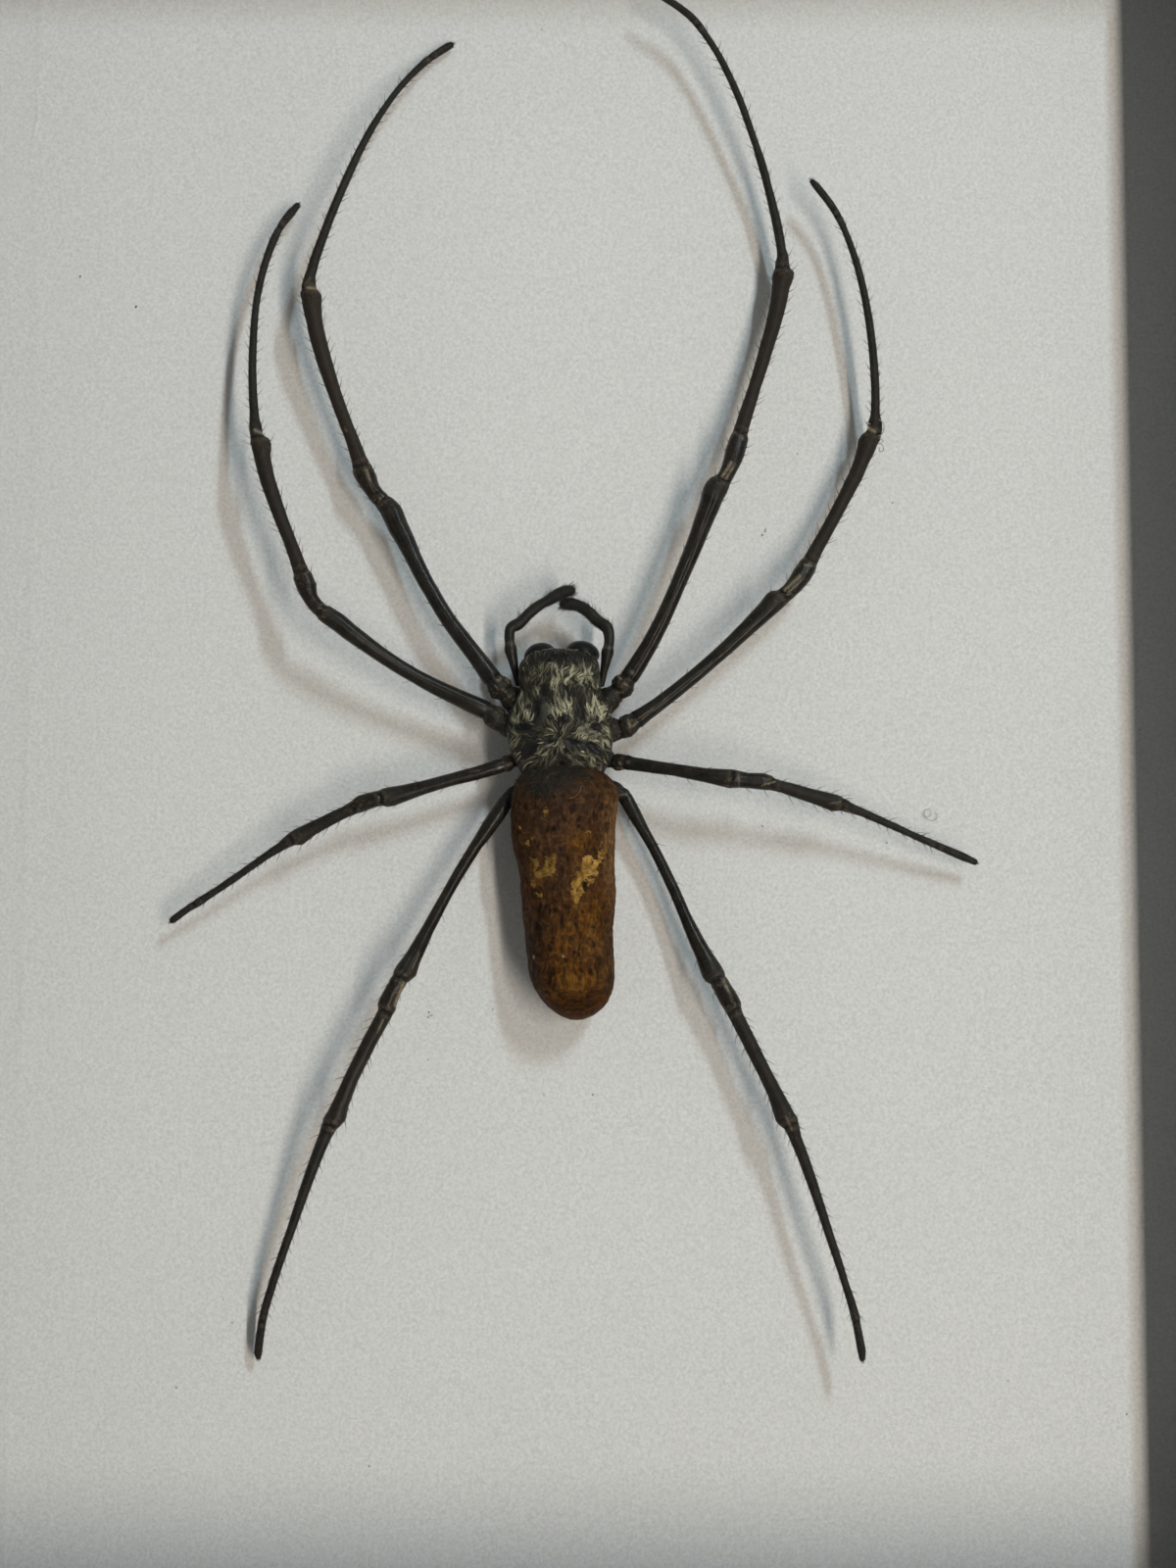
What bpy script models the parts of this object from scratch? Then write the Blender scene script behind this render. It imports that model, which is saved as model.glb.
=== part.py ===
# Orb weaver spider specimen in a shadow-box frame.
#
# The frame lies on its back: +Z points out through the glass, +Y is the head
# end of the specimen, +X is its left-to-right across the glass.  The origin is
# the middle of the frame's back face.  All driving dimensions are in
# millimetres and are turned into metres by MM.

import bpy
import bmesh
import math
from mathutils import Vector, Matrix

MM = 0.001
GAP = 0.3                      # clearance between pieces that touch

# ---------------------------------------------------------------- dimensions
OPENING_W, OPENING_L = 146.0, 199.0     # sight opening
FACE = 15.0                             # moulding face width
DEPTH = 26.0                            # moulding height, back to front
REBATE = 3.0                            # how far the lip covers the glass
LIP_UNDER = 23.3                        # underside of the lip
GLASS_T = 2.0
GLASS_Z = 21.0                          # underside of the glass
PAPER_Z = 8.0                           # top of the backing paper
PAPER_T = 0.4
FOAM_T = 2.0
BACK_T = 2.6
SPACER_T = 2.6

LEG_SIDES = 8
POINT_LEN, POINT_W, POINT_T = 12.0, 5.0, 0.5
POINT_IN = 4.0                          # part of each point driven into a rail

BODY_X = -2.35                          # body axis, across the opening

# ------------------------------------------------------------------ clean-up
for ob in list(bpy.data.objects):
    bpy.data.objects.remove(ob, do_unlink=True)


# ------------------------------------------------------------------- helpers
def material(name, colour, rough=0.5, metal=0.0, trans=0.0):
    m = bpy.data.materials.new(name)
    m.use_nodes = True
    b = m.node_tree.nodes["Principled BSDF"]
    b.inputs["Base Color"].default_value = (*colour, 1.0)
    b.inputs["Roughness"].default_value = rough
    b.inputs["Metallic"].default_value = metal
    b.inputs["Transmission Weight"].default_value = trans
    return m


def add(name, bm, mat, smooth=True, angle=40.0):
    bmesh.ops.recalc_face_normals(bm, faces=bm.faces)
    me = bpy.data.meshes.new(name)
    bm.to_mesh(me)
    bm.free()
    me.materials.append(mat)
    if smooth:
        me.shade_smooth()
        me.set_sharp_from_angle(angle=math.radians(angle))
    ob = bpy.data.objects.new(name, me)
    bpy.context.scene.collection.objects.link(ob)
    return ob


def block(name, size, centre, mat, bevel=0.0):
    """A rectangular piece, size and centre in mm."""
    bm = bmesh.new()
    bmesh.ops.create_cube(bm, size=1.0)
    bmesh.ops.scale(bm, vec=Vector(size) * MM, verts=bm.verts)
    ob = add(name, bm, mat, smooth=False)
    ob.location = Vector(centre) * MM
    if bevel:
        mod = ob.modifiers.new("edge", "BEVEL")
        mod.width = bevel * MM
        mod.segments = 1
    return ob


def loft(rings):
    """Closed body through rings of equal length (lists of mm vectors)."""
    bm = bmesh.new()
    rows = [[bm.verts.new(Vector(p) * MM) for p in ring] for ring in rings]
    n = len(rows[0])
    for a, b in zip(rows[:-1], rows[1:]):
        for i in range(n):
            j = (i + 1) % n
            bm.faces.new((a[i], a[j], b[j], b[i]))
    bm.faces.new(list(reversed(rows[0])))
    bm.faces.new(rows[-1])
    return bm


def spline(points, t):
    """Point at 0..1 on a smooth curve through the points."""
    p = [Vector(q) for q in points]
    if len(p) == 2:
        return p[0].lerp(p[1], t)
    d = [0.0]
    for a, b in zip(p[:-1], p[1:]):
        d.append(d[-1] + (b - a).length)
    u = t * d[-1]
    k = 0
    while k < len(p) - 2 and u > d[k + 1]:
        k += 1

    def slope(i):
        if i == 0:
            return (p[1] - p[0]) / (d[1] - d[0])
        if i == len(p) - 1:
            return (p[-1] - p[-2]) / (d[-1] - d[-2])
        a = (p[i] - p[i - 1]) / (d[i] - d[i - 1])
        b = (p[i + 1] - p[i]) / (d[i + 1] - d[i])
        w = (d[i] - d[i - 1]) / (d[i + 1] - d[i - 1])
        return a * (1 - w) + b * w
    h = d[k + 1] - d[k]
    s = (u - d[k]) / h
    return ((2 * s ** 3 - 3 * s ** 2 + 1) * p[k]
            + (s ** 3 - 2 * s ** 2 + s) * h * slope(k)
            + (-2 * s ** 3 + 3 * s ** 2) * p[k + 1]
            + (s ** 3 - s ** 2) * h * slope(k + 1))


def tube(stations, sides):
    """Rings of given radius square to a path: [(mm point, radius), ...]."""
    pts = [s[0] for s in stations]
    tang = []
    for i in range(len(pts)):
        a = pts[max(i - 1, 0)]
        b = pts[min(i + 1, len(pts) - 1)]
        tang.append((b - a).normalized())
    side = Vector((0, 0, 1)).cross(tang[0]).normalized()
    rings = []
    for (p, r), t in zip(stations, tang):
        side = (side - side.dot(t) * t).normalized()
        up = t.cross(side)
        rings.append([p + r * (math.cos(a) * side + math.sin(a) * up)
                      for a in (2 * math.pi * (k + 0.5) / sides
                                for k in range(sides))])
    return rings


# ----------------------------------------------------------------- materials
BLACK_WOOD = material("black_wood", (0.016, 0.015, 0.015), 0.38)
CLEAR = material("clear_glass", (0.95, 0.97, 0.96), 0.02, trans=1.0)
BLACK_STRIP = material("black_strip", (0.012, 0.012, 0.012), 0.8)
PAPER = material("off_white_paper", (0.72, 0.71, 0.66), 0.85)
FOAM = material("white_foam_board", (0.80, 0.80, 0.78), 0.8)
HARDBOARD = material("brown_hardboard", (0.22, 0.13, 0.07), 0.75)
STEEL = material("zinc_steel", (0.55, 0.55, 0.53), 0.4, metal=1.0)
BRASSY = material("brass_plate", (0.62, 0.47, 0.22), 0.35, metal=1.0)
SHELL = material("silver_haired_shell", (0.16, 0.15, 0.12), 0.6)
LEATHER = material("red_brown_abdomen", (0.11, 0.045, 0.013), 0.6)
LEG = material("dark_leg_shell", (0.02, 0.014, 0.010), 0.35)
JAW = material("jaw_shell", (0.02, 0.02, 0.02), 0.3)
GLUE = material("clear_glue", (0.5, 0.46, 0.36), 0.25)


# ------------------------------------------------------------ frame moulding
def arc(cx, cz, r, a0, a1, n=3):
    return [(cx + r * math.cos(math.radians(a0 + (a1 - a0) * k / n)),
             cz + r * math.sin(math.radians(a0 + (a1 - a0) * k / n)))
            for k in range(n + 1)]


def moulding_profile():
    """(outward, up) outline: rebate, lip, rounded face, flat back."""
    pts = [(REBATE, 0.0), (FACE, 0.0)]
    pts += arc(FACE - 1.5, DEPTH - 1.5, 1.5, 0, 90)
    pts += arc(1.2, DEPTH - 1.2, 1.2, 90, 180)
    pts += [(0.0, LIP_UNDER), (REBATE, LIP_UNDER)]
    return pts


def rail(name, sight, offset, turn, slots):
    """One mitred rail.  sight: opening length along it; offset: from the
    origin to its sight edge; turn: degrees about Z; slots: positions along
    it where a point is driven in."""
    bm = bmesh.new()
    half = sight / 2 + FACE + 2
    face = bm.faces.new([bm.verts.new(Vector((-half, offset + u, z)) * MM)
                         for u, z in moulding_profile()])
    out = bmesh.ops.extrude_face_region(bm, geom=[face])
    moved = [g for g in out["geom"] if isinstance(g, bmesh.types.BMVert)]
    bmesh.ops.translate(bm, verts=moved, vec=Vector((2 * half * MM, 0, 0)))
    for s in (-1, 1):
        # mitre plane through the opening's corner, backed off half the gap
        no = Vector((s, -1.0, 0.0)).normalized()
        co = Vector((s * sight / 2, offset, 0)) - no * GAP / 2
        bmesh.ops.bisect_plane(bm, geom=bm.verts[:] + bm.edges[:] + bm.faces[:],
                               plane_co=co * MM, plane_no=no, clear_outer=True)
        edges = [e for e in bm.edges if e.is_boundary]
        bmesh.ops.holes_fill(bm, edges=edges, sides=0)
    ob = add(name, bm, BLACK_WOOD, angle=30)
    for k, x in enumerate(slots):
        cut = block("slot_%s_%d" % (name, k),
                    (POINT_W + 2 * GAP, POINT_IN + 2 + GAP, POINT_T + 2 * GAP),
                    (x, offset + REBATE + (POINT_IN + GAP - 2) / 2, POINT_Z),
                    BLACK_WOOD)
        cut.hide_render = True
        cut.display_type = "WIRE"
        cut.parent = ob
        mod = ob.modifiers.new("slot", "BOOLEAN")
        mod.operation = "DIFFERENCE"
        mod.object = cut
    ob.rotation_euler = (0, 0, math.radians(turn))
    return ob


BACK_Z = PAPER_Z - PAPER_T - GAP - FOAM_T - GAP - BACK_T     # rear of the back board
POINT_Z = BACK_Z - GAP - POINT_T / 2
SIDE_POINTS = (-55.0, 55.0)
END_POINTS = (0.0,)

rail("rail_top", OPENING_W, OPENING_L / 2, 0, END_POINTS)
rail("rail_bottom", OPENING_W, OPENING_L / 2, 180, END_POINTS)
rail("rail_left", OPENING_L, OPENING_W / 2, 90, SIDE_POINTS)
rail("rail_right", OPENING_L, OPENING_W / 2, -90, SIDE_POINTS)

# --------------------------------------------------- what lies in the rebate
sheet_w = OPENING_W + 2 * (REBATE - GAP)
sheet_l = OPENING_L + 2 * (REBATE - GAP)
block("glass_pane", (sheet_w, sheet_l, GLASS_T),
      (0, 0, GLASS_Z + GLASS_T / 2), CLEAR)
block("backing_paper", (sheet_w, sheet_l, PAPER_T),
      (0, 0, PAPER_Z - PAPER_T / 2), PAPER)
foam_top = PAPER_Z - PAPER_T - GAP
block("foam_board", (sheet_w, sheet_l, FOAM_T),
      (0, 0, foam_top - FOAM_T / 2), FOAM)
block("back_board", (sheet_w, sheet_l, BACK_T),
      (0, 0, BACK_Z + BACK_T / 2), HARDBOARD, bevel=0.3)

sp_lo, sp_hi = PAPER_Z + GAP, GLASS_Z - GAP
sp_zc, sp_h = (sp_lo + sp_hi) / 2, sp_hi - sp_lo
sp_x = OPENING_W / 2 + 0.1 + SPACER_T / 2
sp_y = OPENING_L / 2 + 0.1 + SPACER_T / 2
for s, side in ((-1, "left"), (1, "right")):
    block("spacer_" + side, (SPACER_T, sheet_l, sp_h), (s * sp_x, 0, sp_zc),
          BLACK_STRIP)
for s, side in ((-1, "bottom"), (1, "top")):
    block("spacer_" + side, (OPENING_W + 0.2 - 2 * GAP, SPACER_T, sp_h),
          (0, s * sp_y, sp_zc), BLACK_STRIP)


# --------------------------------------------- points that hold the back in
def framer_point(name, along, offset, turn):
    """A thin steel tab with a clipped nose, half in its rail's slot."""
    w, n = POINT_W / 2, 1.2
    y0, y1 = -(POINT_LEN - POINT_IN), POINT_IN
    outline = [(-w + n, y0), (w - n, y0), (w, y0 + n), (w, y1 - 1.6),
               (w - 1.6, y1), (-w + 1.6, y1), (-w, y1 - 1.6), (-w, y0 + n)]
    bm = bmesh.new()
    f = bm.faces.new([bm.verts.new(Vector((x, y, -POINT_T / 2)) * MM)
                      for x, y in outline])
    out = bmesh.ops.extrude_face_region(bm, geom=[f])
    top = [g for g in out["geom"] if isinstance(g, bmesh.types.BMVert)]
    bmesh.ops.translate(bm, verts=top, vec=Vector((0, 0, POINT_T * MM)))
    ob = add(name, bm, STEEL, smooth=False)
    rot = Matrix.Rotation(math.radians(turn), 4, "Z")
    ob.location = (rot @ Vector((along, offset + REBATE, POINT_Z))) * MM
    ob.rotation_euler = (0, 0, math.radians(turn))


framer_point("point_top", 0, OPENING_L / 2, 0)
framer_point("point_bottom", 0, OPENING_L / 2, 180)
for k, x in enumerate(SIDE_POINTS):
    framer_point("point_left_%d" % (k + 1), x, OPENING_W / 2, 90)
    framer_point("point_right_%d" % (k + 1), x, OPENING_W / 2, -90)


# -------------------------------------------------- sawtooth hanger and nails
HANGER_W, HANGER_H, HANGER_T = 46.0, 6.0, 0.8
HANGER_Y = OPENING_L / 2 - 16.0
HANGER_LIFT = 0.7                       # the middle bows clear of the board
NAIL_X = 19.0


def hanger():
    """Plate with a toothed lower edge; its middle stands off the board."""
    teeth = 9
    z_end = BACK_Z - GAP - HANGER_T
    span = 30.0
    xs = [-HANGER_W / 2, -span / 2 - 2.0]
    for k in range(2 * teeth + 1):
        xs.append(-span / 2 + span * k / (2 * teeth))
    xs += [span / 2 + 2.0, HANGER_W / 2]
    rings = []
    for i, x in enumerate(xs):
        toothed = 2 <= i <= 2 + 2 * teeth
        notch = 1.6 if toothed and (i - 2) % 2 == 1 else 0.0
        lift = HANGER_LIFT if toothed else 0.0
        lo, hi = HANGER_Y - HANGER_H / 2 + notch, HANGER_Y + HANGER_H / 2
        z = z_end - lift
        rings.append([(x, lo, z), (x, hi, z),
                      (x, hi, z + HANGER_T), (x, lo, z + HANGER_T)])
    bm = loft(rings)
    ob = add("sawtooth_hanger", bm, BRASSY, smooth=False)
    for s in (-1, 1):
        bm = bmesh.new()
        bmesh.ops.create_cone(bm, cap_ends=True, segments=12, radius1=0.85 * MM,
                              radius2=0.85 * MM, depth=4 * MM)
        cut = add("nail_hole_%d" % (s + 1), bm, BRASSY)
        cut.location = Vector((s * NAIL_X, HANGER_Y, BACK_Z - 1)) * MM
        cut.hide_render = True
        cut.display_type = "WIRE"
        for target in (ob, bpy.data.objects["back_board"]):
            mod = target.modifiers.new("hole", "BOOLEAN")
            mod.operation = "DIFFERENCE"
            mod.object = cut
    return z_end


plate_z = hanger()


def nail(name, x):
    """Round-headed nail: head against the plate, shank in the back board."""
    head_top = plate_z - GAP
    stations = [(0.0, 1.25), (0.25, 1.5), (0.55, 1.5), (0.56, 0.5), (2.5, 0.5)]
    base = head_top - 0.55
    rings = []
    for z, r in stations:
        rings.append([(x + r * math.cos(2 * math.pi * k / 12),
                       HANGER_Y + r * math.sin(2 * math.pi * k / 12), base + z)
                      for k in range(12)])
    add(name, loft(rings), STEEL, angle=35)


nail("hanger_nail_left", -NAIL_X)
nail("hanger_nail_right", NAIL_X)


# ------------------------------------------------------------ spider: prosoma
# (distance along the body from the widest part, half width, height of dome)
# z values from here on are above the backing paper.
RIM_Z = 6.2
UNDER_Z = 2.2
WIDEST_Y = -1.4
SHELL_STATIONS = [
    (8.0, 3.7, 1.1), (7.2, 4.55, 2.0), (5.4, 4.8, 2.7), (3.8, 5.0, 3.1),
    (2.0, 5.85, 3.4), (0.0, 6.25, 3.5), (-2.2, 6.0, 3.2), (-4.0, 5.0, 2.6),
    (-5.2, 3.5, 1.7), (-5.7, 2.0, 0.9)]


def prosoma():
    rings = []
    for dy, hw, dome in SHELL_STATIONS:
        low = min(0.58 * hw, 3.4)
        ring = []
        for k in range(9):
            a = math.pi * k / 8
            ring.append((hw * math.cos(a), RIM_Z + dome * math.sin(a) ** 0.85))
        ring += [(-0.97 * hw, RIM_Z - 0.4), (-low, RIM_Z - 0.7),
                 (-low, UNDER_Z + 1.1), (-0.6 * low, UNDER_Z),
                 (0.6 * low, UNDER_Z), (low, UNDER_Z + 1.1),
                 (low, RIM_Z - 0.7), (0.97 * hw, RIM_Z - 0.4)]
        rings.append([(BODY_X + x, WIDEST_Y + dy, PAPER_Z + z)
                      for x, z in ring])
    add("prosoma", loft(rings), SHELL, angle=50)


prosoma()


def egg(name, centre, radii, mat, power=2.0, rings=10, sides=12, axis=1,
        tilt=0.0):
    """Rounded body of superellipse length section (mm, above the paper)."""
    rows = []
    for i in range(1, rings):
        s = -math.cos(math.pi * i / rings)
        w = (1 - abs(s) ** power) ** (1 / power)
        row = []
        for k in range(sides):
            a = 2 * math.pi * k / sides
            v = Vector((radii[0] * w * math.cos(a), radii[1] * s,
                        radii[2] * w * math.sin(a)))
            if axis == 2:
                v = Vector((radii[0] * w * math.cos(a),
                            radii[1] * w * math.sin(a), radii[2] * s))
            v = Matrix.Rotation(tilt, 3, "X") @ v
            row.append(v + Vector(centre) + Vector((0, 0, PAPER_Z)))
        rows.append(row)
    return add(name, loft(rows), mat, angle=60)


egg("chelicera_left", (-4.65, 7.78, 4.0), (2.0, 0.85, 2.6), JAW, 2.4,
    rings=7, sides=12, axis=2)
egg("chelicera_right", (0.3, 7.78, 4.0), (2.0, 0.85, 2.6), JAW, 2.4,
    rings=7, sides=12, axis=2)

# ------------------------------------------------------------ spider: abdomen
ABD_FRONT, ABD_END = -7.35, -35.7
ABD_HEIGHT = 5.25                       # half height at the thickest


def abdomen():
    """A long, slightly tapering sack lying on the paper."""
    rows = []
    n, sides = 16, 16
    length = ABD_FRONT - ABD_END
    for i in range(1, n):
        t = (1 - math.cos(math.pi * i / n)) / 2
        y = ABD_FRONT - length * t
        front = min(1.0, (ABD_FRONT - y) / 7.0)
        rear = min(1.0, (y - ABD_END) / 6.0)
        close = ((1 - (1 - front) ** 2.5) ** 0.4) * ((1 - (1 - rear) ** 2.1) ** 0.48)
        hw = (6.45 - 1.5 * t) * close
        hz = (ABD_HEIGHT - 0.5 * t) * close
        xc = -2.05 + 1.35 * t
        zc = ABD_HEIGHT + 0.3 - 0.5 * t
        rows.append([(xc + hw * math.cos(2 * math.pi * k / sides), y,
                      PAPER_Z + zc + hz * math.sin(2 * math.pi * k / sides))
                     for k in range(sides)])
    add("abdomen", loft(rows), LEATHER, angle=60)


abdomen()

egg("glue_dab", (BODY_X, -1.6, 1.05), (2.6, 3.0, 0.75), GLUE, 2.0,
    rings=6, sides=12, axis=2)

# --------------------------------------------------------------- spider: legs
# Joint positions in mm (x, y across the opening; z above the paper), from the
# coxa's inner end to the claw.  Lists of more than one point are bowed parts.
LEGS = {
    "leg_left_1": dict(
        coxa=(-6.5, 0.9, 4.2), troch=(-8.9, 2.9, 4.8), hip=(-10.2, 4.2, 5.2),
        femur=[(-17.6, 14.5, 4.8), (-22.0, 23.2, 4.2), (-24.5, 26.8, 4.1)],
        patella=[(-26.9, 32.2, 4.8)], tibia=[(-29.9, 40.9, 5.6), (-32.1, 51.2, 6.8)],
        meta=[(-30.0, 57.9, 7.3), (-28.0, 63.4, 6.8), (-25.7, 68.9, 5.8),
              (-23.1, 74.0, 4.2), (-20.0, 78.8, 2.2), (-18.1, 81.0, 1.2)],
        tip=(-15.5, 82.8, 0.8), size=1.0, thin=1.0),
    "leg_left_2": dict(
        coxa=(-6.5, -1.9, 4.2), troch=(-9.5, -0.6, 4.9), hip=(-10.9, 0.5, 5.3),
        femur=[(-19.6, 4.6, 6.5), (-27.6, 10.0, 8.1), (-30.7, 12.3, 8.4)],
        patella=[(-33.0, 17.6, 8.2)], tibia=[(-35.6, 24.4, 8.2), (-38.0, 33.3, 8.3)],
        meta=[(-38.6, 39.5, 7.5), (-38.6, 44.8, 6.9), (-38.3, 50.4, 5.6),
              (-37.4, 55.3, 4.4), (-36.3, 58.7, 3.3)],
        tip=(-33.9, 62.4, 1.8), size=0.95, thin=1.0),
    "leg_left_3": dict(
        coxa=(-6.5, -4.6, 4.0), troch=(-8.2, -5.6, 4.7), hip=(-9.2, -6.0, 5.0),
        femur=[(-15.8, -7.9, 5.6), (-21.0, -9.3, 5.7), (-23.6, -9.9, 5.7)],
        patella=[(-27.8, -11.6, 5.4)], tibia=[(-30.3, -12.8, 5.2), (-34.1, -14.8, 4.9)],
        meta=[(-39.4, -18.5, 4.3), (-45.4, -22.4, 3.7)],
        tip=(-48.0, -24.4, 3.3), size=0.84, thin=0.94),
    "leg_left_4": dict(
        coxa=(-4.9, -6.5, 3.2), troch=(-7.5, -8.8, 3.8), hip=(-8.7, -10.1, 4.2),
        femur=[(-14.8, -19.7, 4.9), (-18.8, -27.3, 5.9), (-20.9, -31.2, 6.5)],
        patella=[(-23.3, -36.3, 6.6)], tibia=[(-25.7, -41.2, 6.8), (-29.1, -48.5, 6.9)],
        meta=[(-33.1, -59.1, 5.6), (-36.7, -70.2, 3.3)],
        tip=(-37.3, -75.0, 1.8), size=0.93, thin=0.72),
    "leg_right_1": dict(
        coxa=(1.8, 0.9, 4.2), troch=(4.5, 2.9, 4.9), hip=(5.7, 4.3, 5.3),
        femur=[(9.6, 11.2, 6.2), (12.8, 18.4, 6.5), (15.9, 26.1, 6.0), (17.4, 29.0, 5.9)],
        patella=[(19.4, 34.9, 4.8)], tibia=[(22.0, 43.4, 4.1), (24.3, 54.6, 3.6)],
        meta=[(23.4, 59.9, 3.9), (22.2, 65.0, 4.2), (20.6, 69.8, 4.8),
              (18.9, 74.7, 5.2), (16.6, 79.4, 5.3), (14.0, 83.6, 5.2)],
        tip=(8.4, 87.6, 5.2), size=1.0, thin=1.0),
    "leg_right_2": dict(
        coxa=(1.8, -1.9, 4.2), troch=(5.0, -1.5, 4.8), hip=(6.6, -0.7, 5.1),
        femur=[(13.6, 4.7, 5.1), (19.5, 10.0, 5.2), (24.5, 14.7, 5.2)],
        patella=[(28.2, 20.1, 4.1)], tibia=[(31.2, 25.8, 4.0), (35.0, 34.6, 3.9)],
        meta=[(35.1, 37.7, 4.5), (34.9, 41.8, 4.9), (34.4, 46.5, 5.2),
              (33.6, 51.1, 5.3), (32.6, 55.3, 5.1), (30.7, 60.4, 4.7)],
        tip=(27.6, 64.5, 4.7), size=0.97, thin=0.97),
    "leg_right_3": dict(
        coxa=(1.7, -4.6, 4.0), troch=(4.0, -5.5, 4.8), hip=(5.4, -5.6, 5.6),
        femur=[(12.3, -6.9, 7.2), (16.8, -7.6, 7.5), (19.2, -7.9, 7.5)],
        patella=[(23.4, -8.7, 7.2)], tibia=[(26.4, -9.5, 6.6), (30.6, -10.6, 5.9)],
        meta=[(35.4, -12.5, 5.0), (39.6, -14.3, 4.1)],
        tip=(46.8, -17.3, 2.6), size=0.84, thin=0.94),
    "leg_right_4": dict(
        coxa=(0.3, -6.5, 2.9), troch=(3.7, -8.2, 3.1), hip=(5.3, -9.6, 3.3),
        femur=[(10.9, -20.3, 3.6), (14.2, -27.6, 4.3), (16.1, -31.2, 4.7)],
        patella=[(18.7, -36.4, 5.0)], tibia=[(21.0, -41.2, 5.5), (24.5, -48.2, 5.9)],
        meta=[(28.3, -59.2, 6.6), (31.2, -68.3, 6.4)],
        tip=(32.4, -74.5, 6.1), size=0.93, thin=0.70),
}


# Radius of each part along its length (fraction along, radius in mm on a
# full-size leg).
def profile(stations, t):
    for (a, ra), (b, rb) in zip(stations[:-1], stations[1:]):
        if t <= b:
            f = (t - a) / (b - a)
            f = f * f * (3 - 2 * f)
            return ra + (rb - ra) * f
    return stations[-1][1]


FEMUR_R = [(0.0, 0.98), (0.12, 1.02), (0.45, 0.90), (0.80, 1.08), (0.90, 1.32),
           (1.0, 0.98)]
PATELLA_R = [(0.0, 0.98), (0.45, 1.24), (0.75, 1.14), (1.0, 0.84)]
TIBIA_R = [(0.0, 0.84), (0.2, 0.80), (0.75, 0.96), (0.92, 1.24), (1.0, 0.78)]
META_R = [(0.0, 0.60), (0.35, 0.50), (0.7, 0.40), (1.0, 0.36)]
TARSUS_R = [(0.0, 0.36), (0.4, 0.42), (0.9, 0.41), (1.0, 0.26)]


def leg(name, d):
    size, thin = d["size"], d["thin"]
    st = []

    def part(points, prof, fractions, scale):
        for t in fractions:
            st.append((spline(points, t) + Vector((0, 0, PAPER_Z)),
                       profile(prof, t) * scale))
    part([d["coxa"], d["troch"]], [(0, 0.85), (0.5, 1.05), (1, 0.98)],
         (0.0, 0.5, 0.9), size)
    part([d["troch"], d["hip"]], [(0, 1.0), (1, 0.95)], (0.5,), size)
    femur = [d["hip"]] + d["femur"]
    thin_femur = [(t, r if t > 0.8 or t == 0 else r * thin) for t, r in FEMUR_R]
    part(femur, thin_femur, (0.0, 0.15, 0.32, 0.5, 0.68, 0.8, 0.9, 1.0), size)
    pat = [femur[-1]] + d["patella"]
    part(pat, PATELLA_R, (0.2, 0.45, 0.75, 1.0), size)
    tib = [pat[-1]] + d["tibia"]
    part(tib, TIBIA_R, (0.12, 0.35, 0.62, 0.8, 0.92, 1.0), size)
    met = [tib[-1]] + d["meta"]
    part(met, META_R, (0.06, 0.2, 0.34, 0.48, 0.62, 0.76, 0.9), max(size, 0.9))
    part([met[-1], d["tip"]], TARSUS_R, (0.0, 0.4, 0.85, 1.0), 1.0)
    add(name, loft(tube(st, LEG_SIDES)), LEG, angle=60)


for leg_name, dims in LEGS.items():
    leg(leg_name, dims)

# -------------------------------------------------------------- spider: palps
PALPS = {
    "palp_left": [(-7.6, 5.0, 4.7), (-7.9, 6.4, 5.1), (-8.2, 8.0, 5.3),
                  (-8.2, 9.4, 5.3), (-7.7, 10.4, 5.1), (-6.0, 12.0, 5.0),
                  (-4.2, 13.2, 4.9), (-2.5, 14.3, 4.8), (-0.6, 14.8, 4.8)],
    "palp_right": [(2.9, 5.0, 4.7), (3.1, 6.4, 5.1), (3.3, 8.0, 5.2),
                   (3.4, 9.4, 5.2), (2.8, 10.4, 4.9), (0.9, 12.2, 4.5),
                   (-0.4, 13.0, 4.3), (-1.4, 13.3, 4.2), (-2.4, 13.2, 4.1)],
}
for palp_name, pts in PALPS.items():
    st = []
    n = 15
    for i in range(n):
        t = i / (n - 1)
        r = 0.58 if t < 0.93 else 0.58 - 3.2 * (t - 0.93)
        st.append((spline(pts, t) + Vector((0, 0, PAPER_Z)), r))
    add(palp_name, loft(tube(st, LEG_SIDES)), LEG, angle=60)
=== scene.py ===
# Looks of the framed orb weaver spider specimen: detailed meshes for the
# spider and the paper, materials for every piece, studio light and camera.
# Everything here is in the frame's own axes.  Lengths are in millimetres until
# a mesh is made; heights marked z are above the backing paper.
import bpy
import math
import numpy as np
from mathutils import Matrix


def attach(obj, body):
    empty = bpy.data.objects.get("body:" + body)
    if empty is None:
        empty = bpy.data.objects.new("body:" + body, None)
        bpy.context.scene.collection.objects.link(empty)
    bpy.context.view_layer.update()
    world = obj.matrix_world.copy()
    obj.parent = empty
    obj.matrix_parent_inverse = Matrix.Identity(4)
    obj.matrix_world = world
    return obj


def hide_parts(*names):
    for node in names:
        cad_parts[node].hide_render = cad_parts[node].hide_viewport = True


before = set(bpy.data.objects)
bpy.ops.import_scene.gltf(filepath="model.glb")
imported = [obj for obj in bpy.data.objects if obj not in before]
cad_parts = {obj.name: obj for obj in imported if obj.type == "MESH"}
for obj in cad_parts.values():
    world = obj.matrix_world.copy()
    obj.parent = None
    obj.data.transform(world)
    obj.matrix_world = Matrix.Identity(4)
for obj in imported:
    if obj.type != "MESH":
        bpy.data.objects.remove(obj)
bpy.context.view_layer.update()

MM = 0.001
PAPER = 8.0                                  # top of the paper in the frame
rng = np.random.default_rng(41)

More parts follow.
